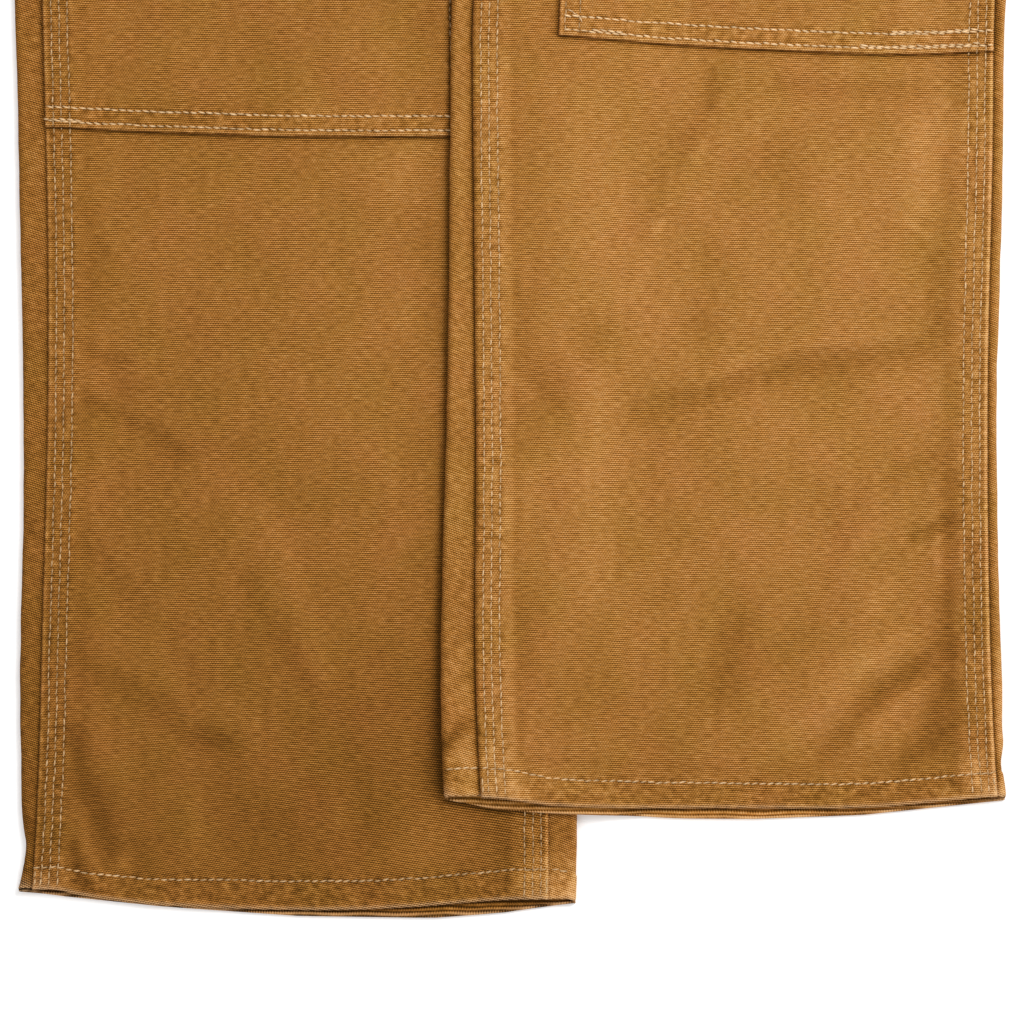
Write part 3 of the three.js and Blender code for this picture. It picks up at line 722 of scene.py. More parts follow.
legs = {side: {"out": out} for side, out in (("right", -1), ("left", 1))}
for side, leg in legs.items():
    leg["front"] = Panel(f"front_{side}", leg["out"])
    leg["knee"] = Panel(f"knee_panel_{side}", leg["out"], 9.0, 26.0)
    leg["back"] = Panel(f"back_{side}", leg["out"], HEM_SLACK + 4, WAIST_SLACK + 20)

NEAR_EDGE = spaced((13, 0.65), (EDGE_ZONE, 1.4))


def panel_columns(middle_count):
    """Places across a panel, each as (share of its width, shift): closer at its sides, and even between."""
    even = [(i + 1) / middle_count for i in range(middle_count - 1)]
    return [(0, d) for d in NEAR_EDGE] + [(t, EDGE_ZONE * (1 - 2 * t)) for t in even] \
        + [(1, -d) for d in reversed(NEAR_EDGE)]


# How far each back's rolled hem reaches past its solid: the drop, and where it starts and is full,
# measured from the inner fold.
HEM_DROP = {"right": (1.1, 10, 32), "left": (0.8, 70, 110)}


def hem_drop(side, x):
    drop, start, full = HEM_DROP[side]
    inner = legs[side]["back"].sides(legs[side]["back"].solid.low[1] + HEM_SLACK)[1]
    return drop * smooth(start, full, abs(x - inner))


def left_leg_painted_shadow(x, y):
    """How much painted shadow darkens the right leg beside the left leg's fold, and below the left leg's hem.
    """
    over = legs["left"]["back"]
    fold = over.sides(y)[1]
    if x > fold:
        return 0.30 * bell(max(over.lower(x)[0] - hem_drop("left", x) - y, 0), 1.6)
    reach = 1.2 + 2.4 * smooth(30, -110, y) + 3.5 * smooth(-80, -110, y)
    return 0.30 * smooth(-130, -119, y) * bell(fold - x, reach)


def make_front(side):
    leg = legs[side]
    panel, knee = leg["front"], leg["knee"]
    columns = panel_columns(88)
    ends = [panel.column(*column) for column in columns]
    length = ends[len(ends) // 2][1] - ends[len(ends) // 2][0]
    hem_low = min(low for low, high in ends)
    knee_low = min(knee.lower(panel.from_outer(0, share * 200))[0] for share in (0.1, 1.0)) - hem_low
    rows = spaced((15, 0.9), (knee_low - 6, 1.8), (knee_low + 14, 0.8), (VISIBLE_TOP - hem_low, 1.8),
                  (length, 9.0))
    sheet = Sheet(columns, rows)

    def where(i, j):
        share, shift = columns[i]
        low, high = ends[i]
        y = low + rows[j] * (high - low) / length
        outer, inner = panel.sides(y)
        x = outer - panel.out * (share * abs(inner - outer) + shift)
        inset = 0.02 * (0.5 - i / (len(columns) - 1))
        return Vector((x, y, panel.solid.height(x - panel.out * inset, y)))

    def relief(i, j, place):
        x, y = place.x, place.y
        outer, inner = panel.sides(y)
        from_outer, from_inner = abs(x - outer), abs(x - inner)
        above_hem = y - ends[i][0]
        share = from_outer / (from_outer + from_inner)
        knee_outer, knee_inner = knee.sides(max(y, knee.solid.low[1]))
        knee_low = knee.lower(x)[0]
        under = smooth(knee_low - 0.5, knee_low + 2.5, y)
        under *= smooth(0, -2.5, (x - knee_inner) * panel.out * -1)
        if y > knee.solid.high[1]:
            under = 0
        rise, tone = crease_at(side, x, y)
        hem_rise, hem_tone = hem(above_hem, hem_depth(side, share), x, HEM_TONE[side])
        outer_rise, outer_tone = felled(from_outer, side, "outer")
        inner_rise, inner_tone = felled(from_inner, side, "inner")
        rise += (outer_rise + inner_rise + hem_rise) * (1 - under)
        tone += hem_tone + painted_leg_shade(side, y) + outer_tone + inner_tone
        if side == "right":
            tone -= left_leg_painted_shadow(x, y)
        below_knee, beside_knee = knee_low - y, (knee_inner - x) * panel.out
        # Painted shadow on the front under the knee panel's lower edge and beside its inner edge.
        shadow_under_knee_edge = 0.34 * bell(below_knee - 0.3, 0.6) + 0.05 * bell(below_knee - 1, 2.2)
        tone -= shadow_under_knee_edge * smooth(1, -1, beside_knee)
        shadow_beside_knee_edge = 0.44 * bell(beside_knee - 0.5, 0.8) + 0.10 * bell(beside_knee - 1, 2.4)
        tone -= shadow_beside_knee_edge * smooth(1, -1, below_knee)
        wear = 0.45 * bell(above_hem - 0.6, 0.9)
        corner = bell(min(from_outer, from_inner), 9) * bell(above_hem, 5)
        pucker = sewn(min(from_outer, from_inner), ALLOWANCE - 4)
        pucker += sewn(above_hem, hem_depth(side, share) + 2)
        return rise, tone, min(wear + 0.22 * corner, 0.9), min(pucker, 1)

    sheet.place(where)
    sheet.mesh.faces.ensure_lookup_table()
    sheet.face_up(sheet.mesh.faces[0])
    sheet.even_out(14)
    sheet.finish(relief)
    sheet.lay_grain(lambda i, j, place: front_grain(side, place))
    leg["front_tree"] = BVHTree.FromBMesh(sheet.mesh)
    widths = [abs(panel.across(y)[1] - panel.across(y)[0]) for y in range(-120, 860, 20)]
    shell(f"front_{side}_cloth", sheet.mesh, f"front_{side}")


for side in legs:
    make_front(side)

# The knee panels
# A second layer of canvas from below the knee to the thigh. Its outer side is caught in the felled outseam,
# and its other edges are turned under and held by two rows of thread.
KNEE_ROWS = (2.9, 9.2)


def make_knee_panel(side):
    leg = legs[side]
    panel = leg["knee"]
    columns = panel_columns(50)
    ends = [panel.column(*column) for column in columns]
    length = ends[len(ends) // 2][1] - ends[len(ends) // 2][0]
    visible = VISIBLE_TOP - ends[0][0]
    rows = spaced((14, 0.8), (visible, 2.0), (length - 12, 8.0), (length, 1.2))
    sheet = Sheet(columns, rows)

    def where(i, j):
        share, shift = columns[i]
        low, high = ends[i]
        y = low + rows[j] * (high - low) / length
        outer, inner = panel.sides(y)
        x = outer - panel.out * (share * abs(inner - outer) + shift)
        return Vector((x, y, panel.solid.height(x, y)))

    def relief(i, j, place):
        x, y = place.x, place.y
        outer, inner = panel.sides(y)
        from_outer, from_inner = abs(x - outer), abs(x - inner)
        low, high = ends[i]
        rise, tone = crease_at(side, x, y)
        tone += painted_leg_shade(side, y)
        seam_rise, seam_tone = felled(from_outer, side, "outer")
        turned_in = turned(from_inner, KNEE_ROWS) + turned(y - low, KNEE_ROWS, 0.5)
        turned_in += turned(high - y, KNEE_ROWS)
        rise += seam_rise + turned_in
        tone += seam_tone
        if side == "right":
            tone -= left_leg_painted_shadow(x, y)
        # A painted highlight on each turned edge's fold, and painted shade at the edge and along its rows of
        # stitches.
        for distance in (from_inner, y - low):
            tone += 0.13 * bell(distance - 1.2, 0.7) - 0.10 * bell(distance, 0.4)
            tone -= sum(0.10 * bell(distance - row, 0.8) for row in KNEE_ROWS)
        pucker = sewn(from_outer, ALLOWANCE - 4) + sewn(min(from_inner, y - low), KNEE_ROWS[1] + 2)
        return rise, tone, 0.05 * bell(y - low - 1.2, 0.7), min(pucker, 1)

    sheet.place(where)
    sheet.mesh.faces.ensure_lookup_table()
    sheet.face_up(sheet.mesh.faces[0])
    sheet.even_out(14)
    sheet.finish(relief)
    sheet.lay_grain(lambda i, j, place: front_grain(side, place) + Vector((0, 0.37)))
    leg["knee_tree"] = BVHTree.FromBMesh(sheet.mesh)
    width = abs(panel.across(400)[1] - panel.across(400)[0])
    shell(f"knee_panel_{side}_cloth", sheet.mesh, f"knee_panel_{side}")


for side in legs:
    make_knee_panel(side)

# The backs
# Each back is wider than its front: it wraps round both sides of the leg onto the top, where the front is
# felled over it. Its hem is turned up and stitched like the front's, and shows a little below it.
FELL = 12.0
FOLD_STEPS = 9
MOUTH_START = 742.0
UNDER_BAND = 4.0


def back_columns(under_count):
    """Places round a back's section, each as (stretch, share): flap, fold, underside, fold and flap."""
    flap = spaced((1, 1 / 22))
    fold = spaced((1, 1 / FOLD_STEPS))
    below = spaced((1, 1 / under_count))
    return [("outer_flap", t) for t in flap] + [("outer_fold", t) for t in fold[1:]] \
        + [("below", t) for t in below[1:]] + [("inner_fold", t) for t in fold[1:]] \
        + [("inner_flap", t) for t in flap[1:]]


PROBE = 3.4
CAD_CLOTH = 1.2
BACK_GRAIN_TURN = math.radians(19)
STRIP_TONE = {"right": -0.03, "left": 0.04}
# Painted shade in the crevice along each front's felled edge, on the wrap beside it.
CREVICE_SHADE = {
    ("right", "outer"): 0.13, ("right", "inner"): 0.02,
    ("left", "outer"): 0.28, ("left", "inner"): 0.42,
}
# Where an outer fold is drawn in, or bulges where the depth is below zero: height, half length and depth.
FOLD_DENTS = {
    "right": [(-130, 16, -1.1), (-146, 5, 0.8), (-168, 9, -1.7)],
    "left": [(-101, 5, -0.6), (-110, 4, 0.4), (-123, 6, -0.6)],
}
FOLD_BULGE = {"right": -0.25, "left": 0.25}


def back_section(leg, y):
    """The folds of a back's section: the middle, height and radius of each, and where its flaps end."""
    panel, front, out = leg["back"], leg["front"], leg["out"]
    outer, inner = panel.sides(y)
    seam_outer, seam_inner = front.sides(y)
    widest = abs(front.sides(MOUTH_START)[0] - panel.sides(MOUTH_START)[0])
    seam_outer = outer - out * min(abs(outer - seam_outer), widest)
    section = {}
    side = "left" if out > 0 else "right"
    dents = sum(depth * bell(y - height, half) for height, half, depth in FOLD_DENTS[side])
    outward = {"outer": FOLD_BULGE[side] - dents, "inner": 0.0}
    for name, edge, seam, way in (("outer", outer, seam_outer, -out), ("inner", inner, seam_inner, out)):
        probe = edge + way * PROBE
        top, low = panel.solid.height(probe, y), panel.solid.height(probe, y, below=True)
        radius = max((top - low) / 2, CAD_CLOTH / 2)
        curl = smooth(0.8, 2.6, radius)
        middle = edge + way * (radius - outward[name])
        end = middle + way * (0.2 + curl * max((seam + way * FELL - middle) * way, 0))
        section[name] = (middle, low + radius, radius, end, way)
    return section


def back_width(section):
    """How wide a back is at a section, from one flap's end, round both folds, to the other's."""
    width = abs(section["outer"][0] - section["inner"][0])
    for middle, _, radius, end, _ in section.values():
        width += math.pi * radius + abs(end - middle)
    return width


def make_back(side):
    leg = legs[side]
    panel, out = leg["back"], leg["out"]
    columns = back_columns(40 if side == "left" else 24)
    length = panel.solid.high[1] - panel.solid.low[1]
    visible = VISIBLE_TOP - panel.solid.low[1]
    rows = spaced((18, 1.0), (visible, 2.6), (length, 10.0))
    sheet = Sheet(columns, rows)
    hems = {"outer": reach_hem(panel, leg["front"], -out), "inner": reach_hem(panel, leg["front"], out)}

    @functools.lru_cache(maxsize=None)
    def section_at(y):
        return back_section(leg, y)

    def place_at(i, y):
        stretch, t = columns[i]
        section = section_at(y)
        if stretch == "below":
            start, stop = section["outer"][0], section["inner"][0]
            x = start + t * (stop - start)
            return Vector((x, y, panel.solid.height(x, y, below=True)))
        name, kind = stretch.split("_")
        middle, height, radius, end, way = section[name]
        if kind == "fold":
            angle = math.pi * (t if name == "outer" else 1 - t)
            return Vector((middle - way * radius * math.sin(angle), y, height + radius * math.cos(angle)))
        x = end + (1 - t if name == "inner" else t) * (middle - end)
        return Vector((x, y, height + radius))

    def column_ends(i):
        stretch, t = columns[i]
        layer = {"outer_flap": 1, "outer_fold": 1 - t, "below": 0, "inner_fold": t, "inner_flap": 1}[stretch]
        name = "outer" if stretch.startswith("outer") or (stretch == "below" and t < 0.5) else "inner"
        low = high = None
        y = panel.solid.low[1] + HEM_SLACK
        for _ in range(3):
            x = place_at(i, y).x
            low = layer * hems[name] + (1 - layer) * (panel.lower(x)[0] - hem_drop(side, x))
            y = low + 0.01
        y = panel.solid.high[1] - WAIST_SLACK
        for _ in range(3):
            x = place_at(i, min(y, panel.solid.high[1] - WAIST_SLACK)).x
            high = panel.upper(x)[1] + UNDER_BAND * layer
            y = high
        return low, high

    ends = [column_ends(i) for i in range(len(columns))]

    def where(i, j):
        low, high = ends[i]
        return place_at(i, low + rows[j] * (high - low) / length)

    def relief(i, j, place):
        low, high = ends[i]
        stretch, t = columns[i]
        above_hem = rows[j] * (high - low) / length
        hem_rise, hem_tone = hem(above_hem, 12.0, place.x * 1.3 + place.z)
        seam_outer, seam_inner = leg["front"].sides(place.y)
        nearest = min(abs(place.x - seam_outer), abs(place.x - seam_inner))
        on_top = stretch != "below" and place.z > section_at(round(place.y))[stretch.split("_")[0]][1]
        if stretch == "below":
            beyond_front = leg["front"].lower(place.x)[0] - place.y
            shadow = 0.12 * smooth(1.7, 0.4, beyond_front) * smooth(-16, -8, -above_hem)
            tone = painted_leg_shade(side, place.y) + STRIP_TONE[side] - shadow
            return min(hem_rise, 0), tone, 0.30 * bell(above_hem, 1.2), 0
        name = stretch.split("_")[0]
        # Painted light and shade on the wrap, and on its fold where it turns away from the light; the ripples
        # are painted lighter where they rise.
        wrap_painted_light, fold_painted_light = SEAM_PAINTED_LIGHT[side, name][2:]
        from_fold = abs(place.x - panel.sides(place.y)[0 if name == "outer" else 1])
        ripple = 0.22 * noise.noise(Vector((place.x / 9, place.y / 13, 20)))
        crease_rise, crease_tone = crease_at(side, place.x, place.y)
        rise = hem_rise * (0.6 if on_top else 0.1) + ripple + 0.4 * crease_rise
        tone = painted_leg_shade(side, place.y) + hem_tone + crease_tone + 0.08 * ripple + wrap_painted_light
        tone += fold_painted_light * bell(from_fold, 1.8)
        # Painted shade in the crevice beside the front's edge.
        if on_top:
            below_mouth = smooth(MOUTH_START + 5, MOUTH_START - 3, place.y)
            tone -= CREVICE_SHADE[side, name] * below_mouth * (bell(nearest, 0.9) + 0.22 * bell(nearest, 2.6))
        wear = 0.35 * bell(above_hem - 0.6, 1.0) + 0.3 * bell(above_hem, 4) * bell(from_fold, 4)
        return rise, tone, wear, 0.5 + 0.5 * sewn(above_hem, 14)

    sheet.place(where)
    sheet.mesh.faces.ensure_lookup_table()
    middle_face = next(face for face in sheet.mesh.faces if all(
        columns[sheet.spots[v.index][0]][0] == "below" for v in face.verts))
    if middle_face.normal.z > 0:
        bmesh.ops.reverse_faces(sheet.mesh, faces=sheet.mesh.faces)
    sheet.finish(relief)
    for vert in sheet.mesh.verts:
        vert.co.z = max(vert.co.z, 0.0)
    lengths = [0.0]
    middle_y = 0.0
    for i in range(1, len(columns)):
        lengths.append(lengths[-1] + (place_at(i, middle_y) - place_at(i - 1, middle_y)).length)
    turn = Matrix.Rotation(BACK_GRAIN_TURN * out, 2)

    def grain(i, j, place):
        on_wrap = columns[i][0] != "below"
        return turn @ Vector((lengths[i], place.y)) if on_wrap else Vector((lengths[i], 0.4 * place.y))

    sheet.lay_grain(grain)
    leg["back_tree"] = BVHTree.FromBMesh(sheet.mesh)
    widths = [back_width(section_at(y)) for y in range(-110, 870, 20)]
    shell(f"back_{side}_cloth", sheet.mesh, f"back_{side}")


def reach_hem(panel, front, way):
    """The height of a back's hem on the wrap that lies on that side of the leg's front."""
    outer, inner = front.sides(panel.solid.low[1] + HEM_SLACK)
    return front.lower(outer if way == -front.out else inner)[0]


for side in legs:
    make_back(side)

# The upper pieces
# The waistband, its belt loops, the facings in the pocket mouths and the hammer loop are canvas too. They are
# cut plainly, with turned edges, and lie on the panels or round the outer fold.
STRIP_EDGE = 0.45


def canvas_strip(node, grain_turn=0.0):
    """A strip finished on its solid: rounded edges, and its grain along its length."""
    mesh = bmesh.new()
    mesh.from_mesh(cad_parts[node].data)
    bmesh.ops.remove_doubles(mesh, verts=mesh.verts, dist=1e-6)
    bmesh.ops.transform(mesh, matrix=TO_MM, verts=mesh.verts)
    bmesh.ops.recalc_face_normals(mesh, faces=mesh.faces)
    sharp = [edge for edge in mesh.edges if edge.calc_face_angle(0) > math.radians(60)]
    bmesh.ops.bevel(mesh, geom=sharp, offset=STRIP_EDGE, offset_type="OFFSET", segments=3, profile=0.5,
                    affect="EDGES", material=-1)
    tone = mesh.verts.layers.float.new("tone")
    mesh.verts.layers.float.new("wear")
    mesh.verts.layers.float.new("pucker")
    for vert in mesh.verts:
        vert[tone] = 0.02
    uv = mesh.loops.layers.uv.new("grain")
    turn = Matrix.Rotation(grain_turn, 2)
    for face in mesh.faces:
        for loop in face.loops:
            loop[uv].uv = turn @ Vector((loop.vert.co.x, loop.vert.co.y + loop.vert.co.z))
    bmesh.ops.transform(mesh, matrix=TO_METRES, verts=mesh.verts)
    for face in mesh.faces:
        face.smooth = True
    data = bpy.data.meshes.new(f"{node}_cloth")
    mesh.to_mesh(data)
    mesh.free()
    piece = link(data, f"{node}_cloth")
    data.materials.append(CANVAS)
    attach(piece, "root")
    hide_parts(node)
    return piece


canvas_strip("waistband")
for i in range(4):
    canvas_strip(f"belt_loop_{i + 1}")
for side in legs:
    canvas_strip(f"pocket_facing_{side}")
canvas_strip("hammer_loop")

# The stitching
# Cream cotton thread in lockstitch: three rows down each felled seam, two round each knee panel and one on
# each hem. A stitch is a short bead of two twisted plies that dips into the cloth at its ends.
SEAM_STITCH = {"pitch": 3.5, "long": 3.5, "wide": 0.72, "high": 0.55, "slant": -3, "soil": 0.14}
KNEE_STITCH = {"pitch": 3.5, "long": 3.7, "wide": 1.0, "high": 0.8, "slant": -8, "soil": 0.0}
SIDE_STITCH = {"pitch": 3.5, "long": 3.2, "wide": 0.62, "high": 0.5, "slant": -3, "soil": 0.28}
HEM_STITCH = {"pitch": 3.5, "long": 3.6, "wide": 0.86, "high": 0.7, "slant": 9, "soil": 0.12}
LOOSE_END = {"pitch": 2.0, "long": 3.0, "wide": 0.55, "high": 0.9, "slant": 0, "soil": 0.0}
THREAD_TONES = [(0.0, (0.085, 0.044, 0.012)), (0.5, (0.52, 0.315, 0.14)), (1.0, (0.97, 0.67, 0.37))]


def thread_material():
    """Cream thread of two twisted plies, with painted shade at a stitch's ends, where it dips into the cloth.
    """
    m = Nodes("cream_thread")
    turns = m.add("SeparateXYZ")
    m.feed(turns.inputs[0], m.add("UVMap", uv_map="twist").outputs["UV"])
    around = m.math("MULTIPLY", turns.outputs["X"], 4 * math.pi)
    along = m.math("MULTIPLY", turns.outputs["Y"], 5 * math.pi)
    ply = m.math("SINE", m.math("ADD", around, along))
    # Painted shade: the thread is darker towards each end of a stitch.
    arch = m.math("MULTIPLY", turns.outputs["Y"], m.math("SUBTRACT", 1.0, turns.outputs["Y"]))
    lit = m.math("SQRT", m.math("MULTIPLY", arch, 4.0))
    soil = m.noise(m.add("TexCoord").outputs["Object"], 90.0, 2.0)
    tone = m.math("ADD", m.math("MULTIPLY", ply, 0.16), m.math("MULTIPLY", soil, 0.5))
    tone = m.math("SUBTRACT", m.math("ADD", tone, lit), m.math("ADD", m.attribute("soil"), 0.42))
    m.feed(m.shader.inputs["Base Color"], m.ramp(tone, THREAD_TONES))
    bump = m.add("Bump")
    bump.inputs["Strength"].default_value = 0.7
    bump.inputs["Distance"].default_value = 0.0001
    m.feed(bump.inputs["Height"], ply)
    m.feed(m.shader.inputs["Normal"], bump.outputs["Normal"])
    m.shader.inputs["Roughness"].default_value = 0.75
    m.shader.inputs["Specular IOR Level"].default_value = 0.15
    return m.material


THREAD = thread_material()


def bead():
    """One stitch of unit size, along X, with a UV map that its twist follows."""
    mesh = bmesh.new()
    mesh.loops.layers.uv.new("twist")
    mesh.verts.layers.float.new("soil")
    bmesh.ops.create_uvsphere(mesh, u_segments=6, v_segments=5, radius=0.5, calc_uvs=True,
                              matrix=Matrix.Rotation(math.pi / 2, 4, "Y"))
    for face in mesh.faces:
        face.smooth = True
    data = bpy.data.meshes.new("stitch")
    mesh.to_mesh(data)
    mesh.free()
    return data


BEAD = bead()
# The right leg's thread is painted darker, as painted shade like that leg's cloth.
RIGHT_LEG_THREAD_SHADE = 0.12


def top_of(trees, x, y):
    hits = [tree.ray_cast(Vector((x, y, 50)), Vector((0, 0, -1)))[0] for tree in trees]
    return max((hit.z for hit in hits if hit), default=0.0)


def sew(name, rows):
    """Rows of stitches as one piece. A row is its cloth, its line of places and its kind of stitch."""
    rng = random.Random(name)
    leg_thread_shade = RIGHT_LEG_THREAD_SHADE if name.endswith("right") else 0.0
    mesh = bmesh.new()
    for trees, line, kind in rows:
        reach = [0.0]
        for a, b in zip(line, line[1:]):
            reach.append(reach[-1] + math.dist(a, b))

        def at(distance):
            i = min(max(bisect.bisect(reach, distance) - 1, 0), len(line) - 2)
            t = (distance - reach[i]) / (reach[i + 1] - reach[i])
            return Vector(line[i]).lerp(Vector(line[i + 1]), t)

        middle = kind["pitch"] * rng.uniform(0.4, 0.8)
        while middle < reach[-1] - kind["pitch"] / 2:
            half = kind["long"] * rng.uniform(0.43, 0.53)
            grime = rng.uniform(-0.06, 0.14)
            ends = [at(middle - half), at(middle + half)]
            start, stop = (end.to_3d() + Vector((0, 0, top_of(trees, *end))) for end in ends)
            sway = rng.uniform(-0.2, 0.2) + 0.3 * noise.noise(Vector((*start.xy / 14, 7)))
            centre = at(middle) + sway * Vector((start.y - stop.y, stop.x - start.x)).normalized()
            height = top_of(trees, *centre)
            way = (stop - start).normalized()
            turn = way.to_track_quat("X", "Z").to_matrix().to_4x4()
            turn @= Matrix.Rotation(math.radians(kind["slant"] + rng.uniform(-7, 7)), 4, "Z")
            size = Matrix.Diagonal((2 * half, kind["wide"] * rng.uniform(0.8, 1.15), kind["high"], 1))
            spot = Matrix.Translation((centre.x, centre.y, height + 0.08 * kind["high"])) @ turn @ size
            BEAD.transform(spot)
            # The soil attribute holds the thread's dirt and, on the right leg, painted shade.
            for soiled in BEAD.attributes["soil"].data:
                soiled.value = kind["soil"] + grime + leg_thread_shade
            mesh.from_mesh(BEAD)
            BEAD.transform(spot.inverted())
            middle += kind["pitch"] * rng.uniform(0.96, 1.04)
    bmesh.ops.transform(mesh, matrix=TO_METRES, verts=mesh.verts)
    data = bpy.data.meshes.new(name)
    mesh.to_mesh(data)
    mesh.free()
    data.materials.append(THREAD)
    piece = link(data, name)
    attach(piece, "root")
    return piece


HEM_ON_WRAP = {
    "left": {"outer": (10.3, 10.1), "inner": (13.3, 12.3)},
    "right": {"outer": (10.7, 11.0), "inner": (13.3, 11.2)},
}
# Rows sewn twice along a knee panel's lower edge: where each starts and stops, and its height over the edge.
BACK_TACKS = {"left": [(34, 50, 3.7), (153, 207, 3.7), (166, 207, 9.9)], "right": [(-206, -188, 3.6)]}
TAIL = [(24.5, 220.2), (27.2, 219.0), (29.6, 217.0), (31.2, 213.4)]
CROTCH = 650.0
FLY_START = 698.0
WAIST = 880.0
MOUTH_ROWS = (2.6, 8.4)
FLY_ROWS = (34.0, 40.0)
FLY_TOP = 872
FLY_BEND = 730
BAND_HEIGHT = 42.0
ROW_STEP = 3.0


def up_the_leg(panel, side, distance, low, high):
    """A line at a distance inside a panel's outer or inner side."""
    count = round((high - low) / ROW_STEP)
    line = []
    for i in range(count + 1):
        y = low + (high - low) * i / count
        outer, inner = panel.sides(y)
        line.append((outer - panel.out * distance if side == "outer" else inner + panel.out * distance, y))
    return line


def across_the_leg(panel, edge, rise, start, stop):
    """A line at a height above one of a panel's edges, between two places across it."""
    count = max(2, round(abs(stop - start) / ROW_STEP))
    places = [start + (stop - start) * i / count for i in range(count + 1)]
    return [(x, edge(x)[0] + rise(x)) for x in places]


for side, leg in legs.items():
    front, knee, back, out = leg["front"], leg["knee"], leg["back"], leg["out"]
    trees = [leg["front_tree"], leg["knee_tree"], leg["back_tree"]]
    outer, inner = front.sides(front.solid.low[1] + HEM_SLACK)
    bottom = {"outer": front.lower(outer)[0], "inner": front.lower(inner)[0]}
    tops = {"outer": MOUTH_START, "inner": FLY_START if side == "left" else CROTCH}
    seams = [(trees, up_the_leg(front, name, row, bottom[name] + 1.5, tops[name]), SEAM_STITCH)
             for name in bottom for row in SEAM_ROWS]
    seams += [(trees, up_the_leg(front, name, 0.9, bottom[name] + 1.5, bottom[name] + 10), SEAM_STITCH)
              for name in bottom]
    mouth_top = front.upper(front.from_outer(WAIST - 20, MOUTH_ROWS[-1]))[1] - 5
    mouth_top = min(mouth_top, WAIST - 4)
    seams += [(trees, up_the_leg(front, "outer", row, MOUTH_START + 2, mouth_top), SEAM_STITCH)
              for row in MOUTH_ROWS]
    sew(f"felled_seam_stitches_{side}", seams)
    knee_outer, knee_inner = knee.sides(knee.solid.low[1] + 9)
    knee_end = knee_inner + out
    rows = [(trees, across_the_leg(knee, knee.lower, lambda x: row, knee_outer, knee_end), KNEE_STITCH)
            for row in KNEE_ROWS]
    side_low, side_high = knee.lower(knee_inner)[0] + 2, knee.upper(knee_inner)[1] - 2
    rows += [(trees, up_the_leg(knee, "inner", row, side_low, side_high), SIDE_STITCH) for row in KNEE_ROWS]
    rows += [(trees, across_the_leg(knee, knee.lower, lambda x: height, start, stop), KNEE_STITCH)
             for start, stop, height in BACK_TACKS[side]]
    if side == "left":
        rows.append((trees, TAIL, LOOSE_END))
    top_outer, top_inner = knee.sides(knee.solid.high[1] - 26)
    xs = [top_outer + (top_inner - top_outer) * i / 60 for i in range(61)]
    rows += [(trees, [(x, knee.upper(x)[1] - row) for x in xs], KNEE_STITCH) for row in KNEE_ROWS]
    sew(f"knee_panel_stitches_{side}", rows)
    width = abs(inner - outer)
    hem_line = across_the_leg(front, front.lower, lambda x: hem_depth(side, min(abs(x - outer) / width, 1)),
                              outer, inner)
    rows = [(trees, hem_line, HEM_STITCH)]
    for name, seam in (("outer", outer), ("inner", inner)):
        edge = back.sides(bottom[name] + 14)[0 if name == "outer" else 1]
        way = 1 if edge > seam else -1
        start, stop = HEM_ON_WRAP[side][name]
        line = [(seam + way * 1.2, bottom[name] + start), (edge - way * 0.8, bottom[name] + stop)]
        rows.append((trees, line, HEM_STITCH))
    sew(f"hem_stitches_{side}", rows)

# The stitching at the waist
# Two rows hold the waistband, and two curve down the fly. The belt loops, the hammer loop and the pocket
# mouths are tacked with dense cross stitches, and the buttonhole is worked along both sides of its slit.
TACK = {"pitch": 0.75, "long": 2.4, "wide": 0.75, "high": 0.6, "slant": 90, "soil": 0.05}
band = Solid("waistband")
band_edge = band.outline(0, band.low[0] + 14, band.high[0] - 14)
BAND_ROW_HALF = 205
band_places = [-BAND_ROW_HALF + 2 * BAND_ROW_HALF * (i / 120) for i in range(121)]
rows = []
for rise in (2.4, BAND_HEIGHT - 2.4):
    rows.append(([band.tree], [(x, band_edge(x)[0] + rise) for x in band_places], KNEE_STITCH))
for lip in (-1.5, 1.5):
    rows.append(([band.tree], [(x, band_edge(x)[0] + BAND_HEIGHT / 2 + lip) for x in (5, 16)], TACK))
sew("waistband_stitches", rows)

rows = []
for i in range(4):
    loop = Solid(f"belt_loop_{i + 1}")
    (left, low, _), (right, high, _) = loop.low, loop.high
    rows += [([loop.tree], [(left + 2, y), (right - 2, y)], TACK) for y in (low + 3.6, high - 3.6)]
    rows += [([loop.tree], [(x, low + 5), (x, high - 5)], SIDE_STITCH) for x in (left + 3, right - 3)]
loop = Solid("hammer_loop")
(left, low, _), (right, high, _) = loop.low, loop.high
rows += [([loop.tree], [(left + 3, y), (right - 4, y)], SEAM_STITCH) for y in (low + 3.5, high - 3.5)]
rows.append(([loop.tree], [(left + 4, low + 4), (left + 4, high - 4)], TACK))
sew("loop_stitches", rows)

rows = []
for side, leg in legs.items():
    trees = [leg["front_tree"], leg["back_tree"]]
    mouth = leg["front"].sides(MOUTH_START)[0]
    tack = [(mouth - leg["out"] * inside, MOUTH_START) for inside in (1.5, 10)]
    rows.append((trees, tack, TACK))
fly = legs["left"]["front"]
for row in FLY_ROWS:
    line = [(fly.sides(y)[1] + row, y) for y in range(FLY_TOP, FLY_BEND, -4)]
    for turn in (i * math.pi / 16 for i in range(9)):
        x = fly.sides(FLY_BEND)[1] + 4 + (row - 4) * math.cos(turn)
        line.append((x, FLY_BEND - 0.8 * row * math.sin(turn)))
    rows.append(([legs["left"]["front_tree"]], line, SEAM_STITCH))
sew("fly_and_pocket_stitches", rows)

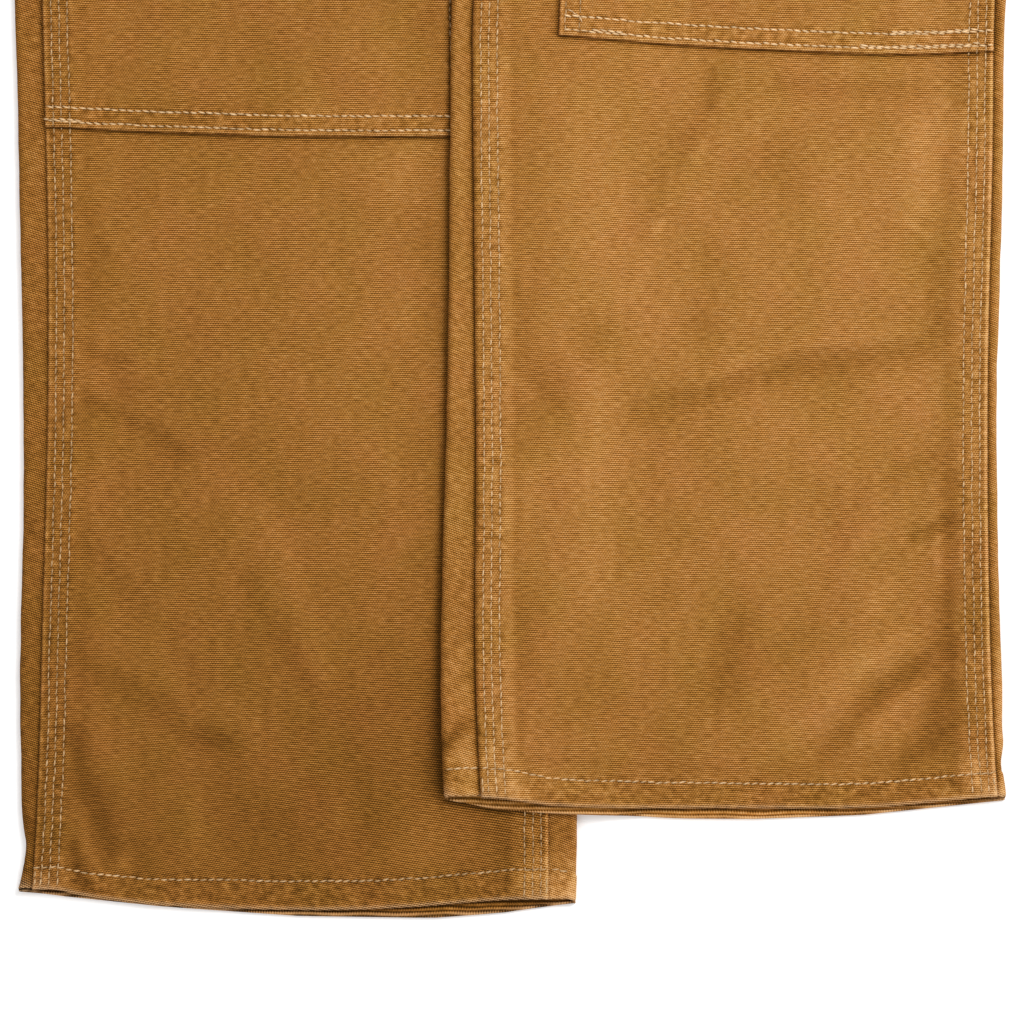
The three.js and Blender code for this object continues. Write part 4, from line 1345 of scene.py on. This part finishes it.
# The waist button
# A dished brass cap with a rolled rim on a short shank. It is riveted through the waistband's right end and
# stands through the buttonhole of the left end. The brass has tarnished unevenly.
BUTTON_PROFILE = [
    (0, 0), (3, 0), (3, 1.35), (7.3, 1.4), (8.2, 1.75), (8.5, 2.3), (8.25, 2.9), (7.6, 3.25), (6.9, 3.2),
    (6.3, 2.9), (5.7, 2.75), (4.2, 2.5), (3.2, 2.2), (1.6, 2.15), (0, 2.2),
]
mesh = bmesh.new()
profile = [mesh.verts.new((radius, 0, height)) for radius, height in BUTTON_PROFILE]
profile += [mesh.edges.new(pair) for pair in zip(profile, profile[1:])]
bmesh.ops.spin(mesh, geom=profile, cent=(0, 0, 0), axis=(0, 0, 1), angle=2 * math.pi, steps=48,
               use_merge=True)
bmesh.ops.remove_doubles(mesh, verts=mesh.verts, dist=1e-4)
bmesh.ops.recalc_face_normals(mesh, faces=mesh.faces)
for face in mesh.faces:
    face.smooth = True
bmesh.ops.translate(mesh, verts=mesh.verts, vec=(0, VIEW_BELOW_BUTTON * 1000, button_low[2] * 1000))
bmesh.ops.transform(mesh, matrix=TO_METRES, verts=mesh.verts)
data = bpy.data.meshes.new("waist_button_cap")
mesh.to_mesh(data)
mesh.free()
button = link(data, "waist_button_cap")
m = Nodes("aged_brass")
place = m.add("TexCoord").outputs["Object"]
tarnish = m.noise(place, 420.0, 3.0, 0.6)
BRASS_TONES = [(0.30, (0.13, 0.085, 0.04)), (0.55, (0.33, 0.22, 0.10)), (0.80, (0.52, 0.38, 0.20))]
brass = m.ramp(tarnish, BRASS_TONES)
m.feed(m.shader.inputs["Base Color"], brass)
m.feed(m.shader.inputs["Roughness"], m.math("SUBTRACT", 0.62, m.math("MULTIPLY", tarnish, 0.4)))
m.shader.inputs["Metallic"].default_value = 0.9
bump = m.add("Bump")
bump.inputs["Strength"].default_value = 0.3
bump.inputs["Distance"].default_value = 0.0001
m.feed(bump.inputs["Height"], m.noise(place, 1500.0, 2.0))
m.feed(m.shader.inputs["Normal"], bump.outputs["Normal"])
data.materials.append(m.material)
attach(button, "root")
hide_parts("waist_button")
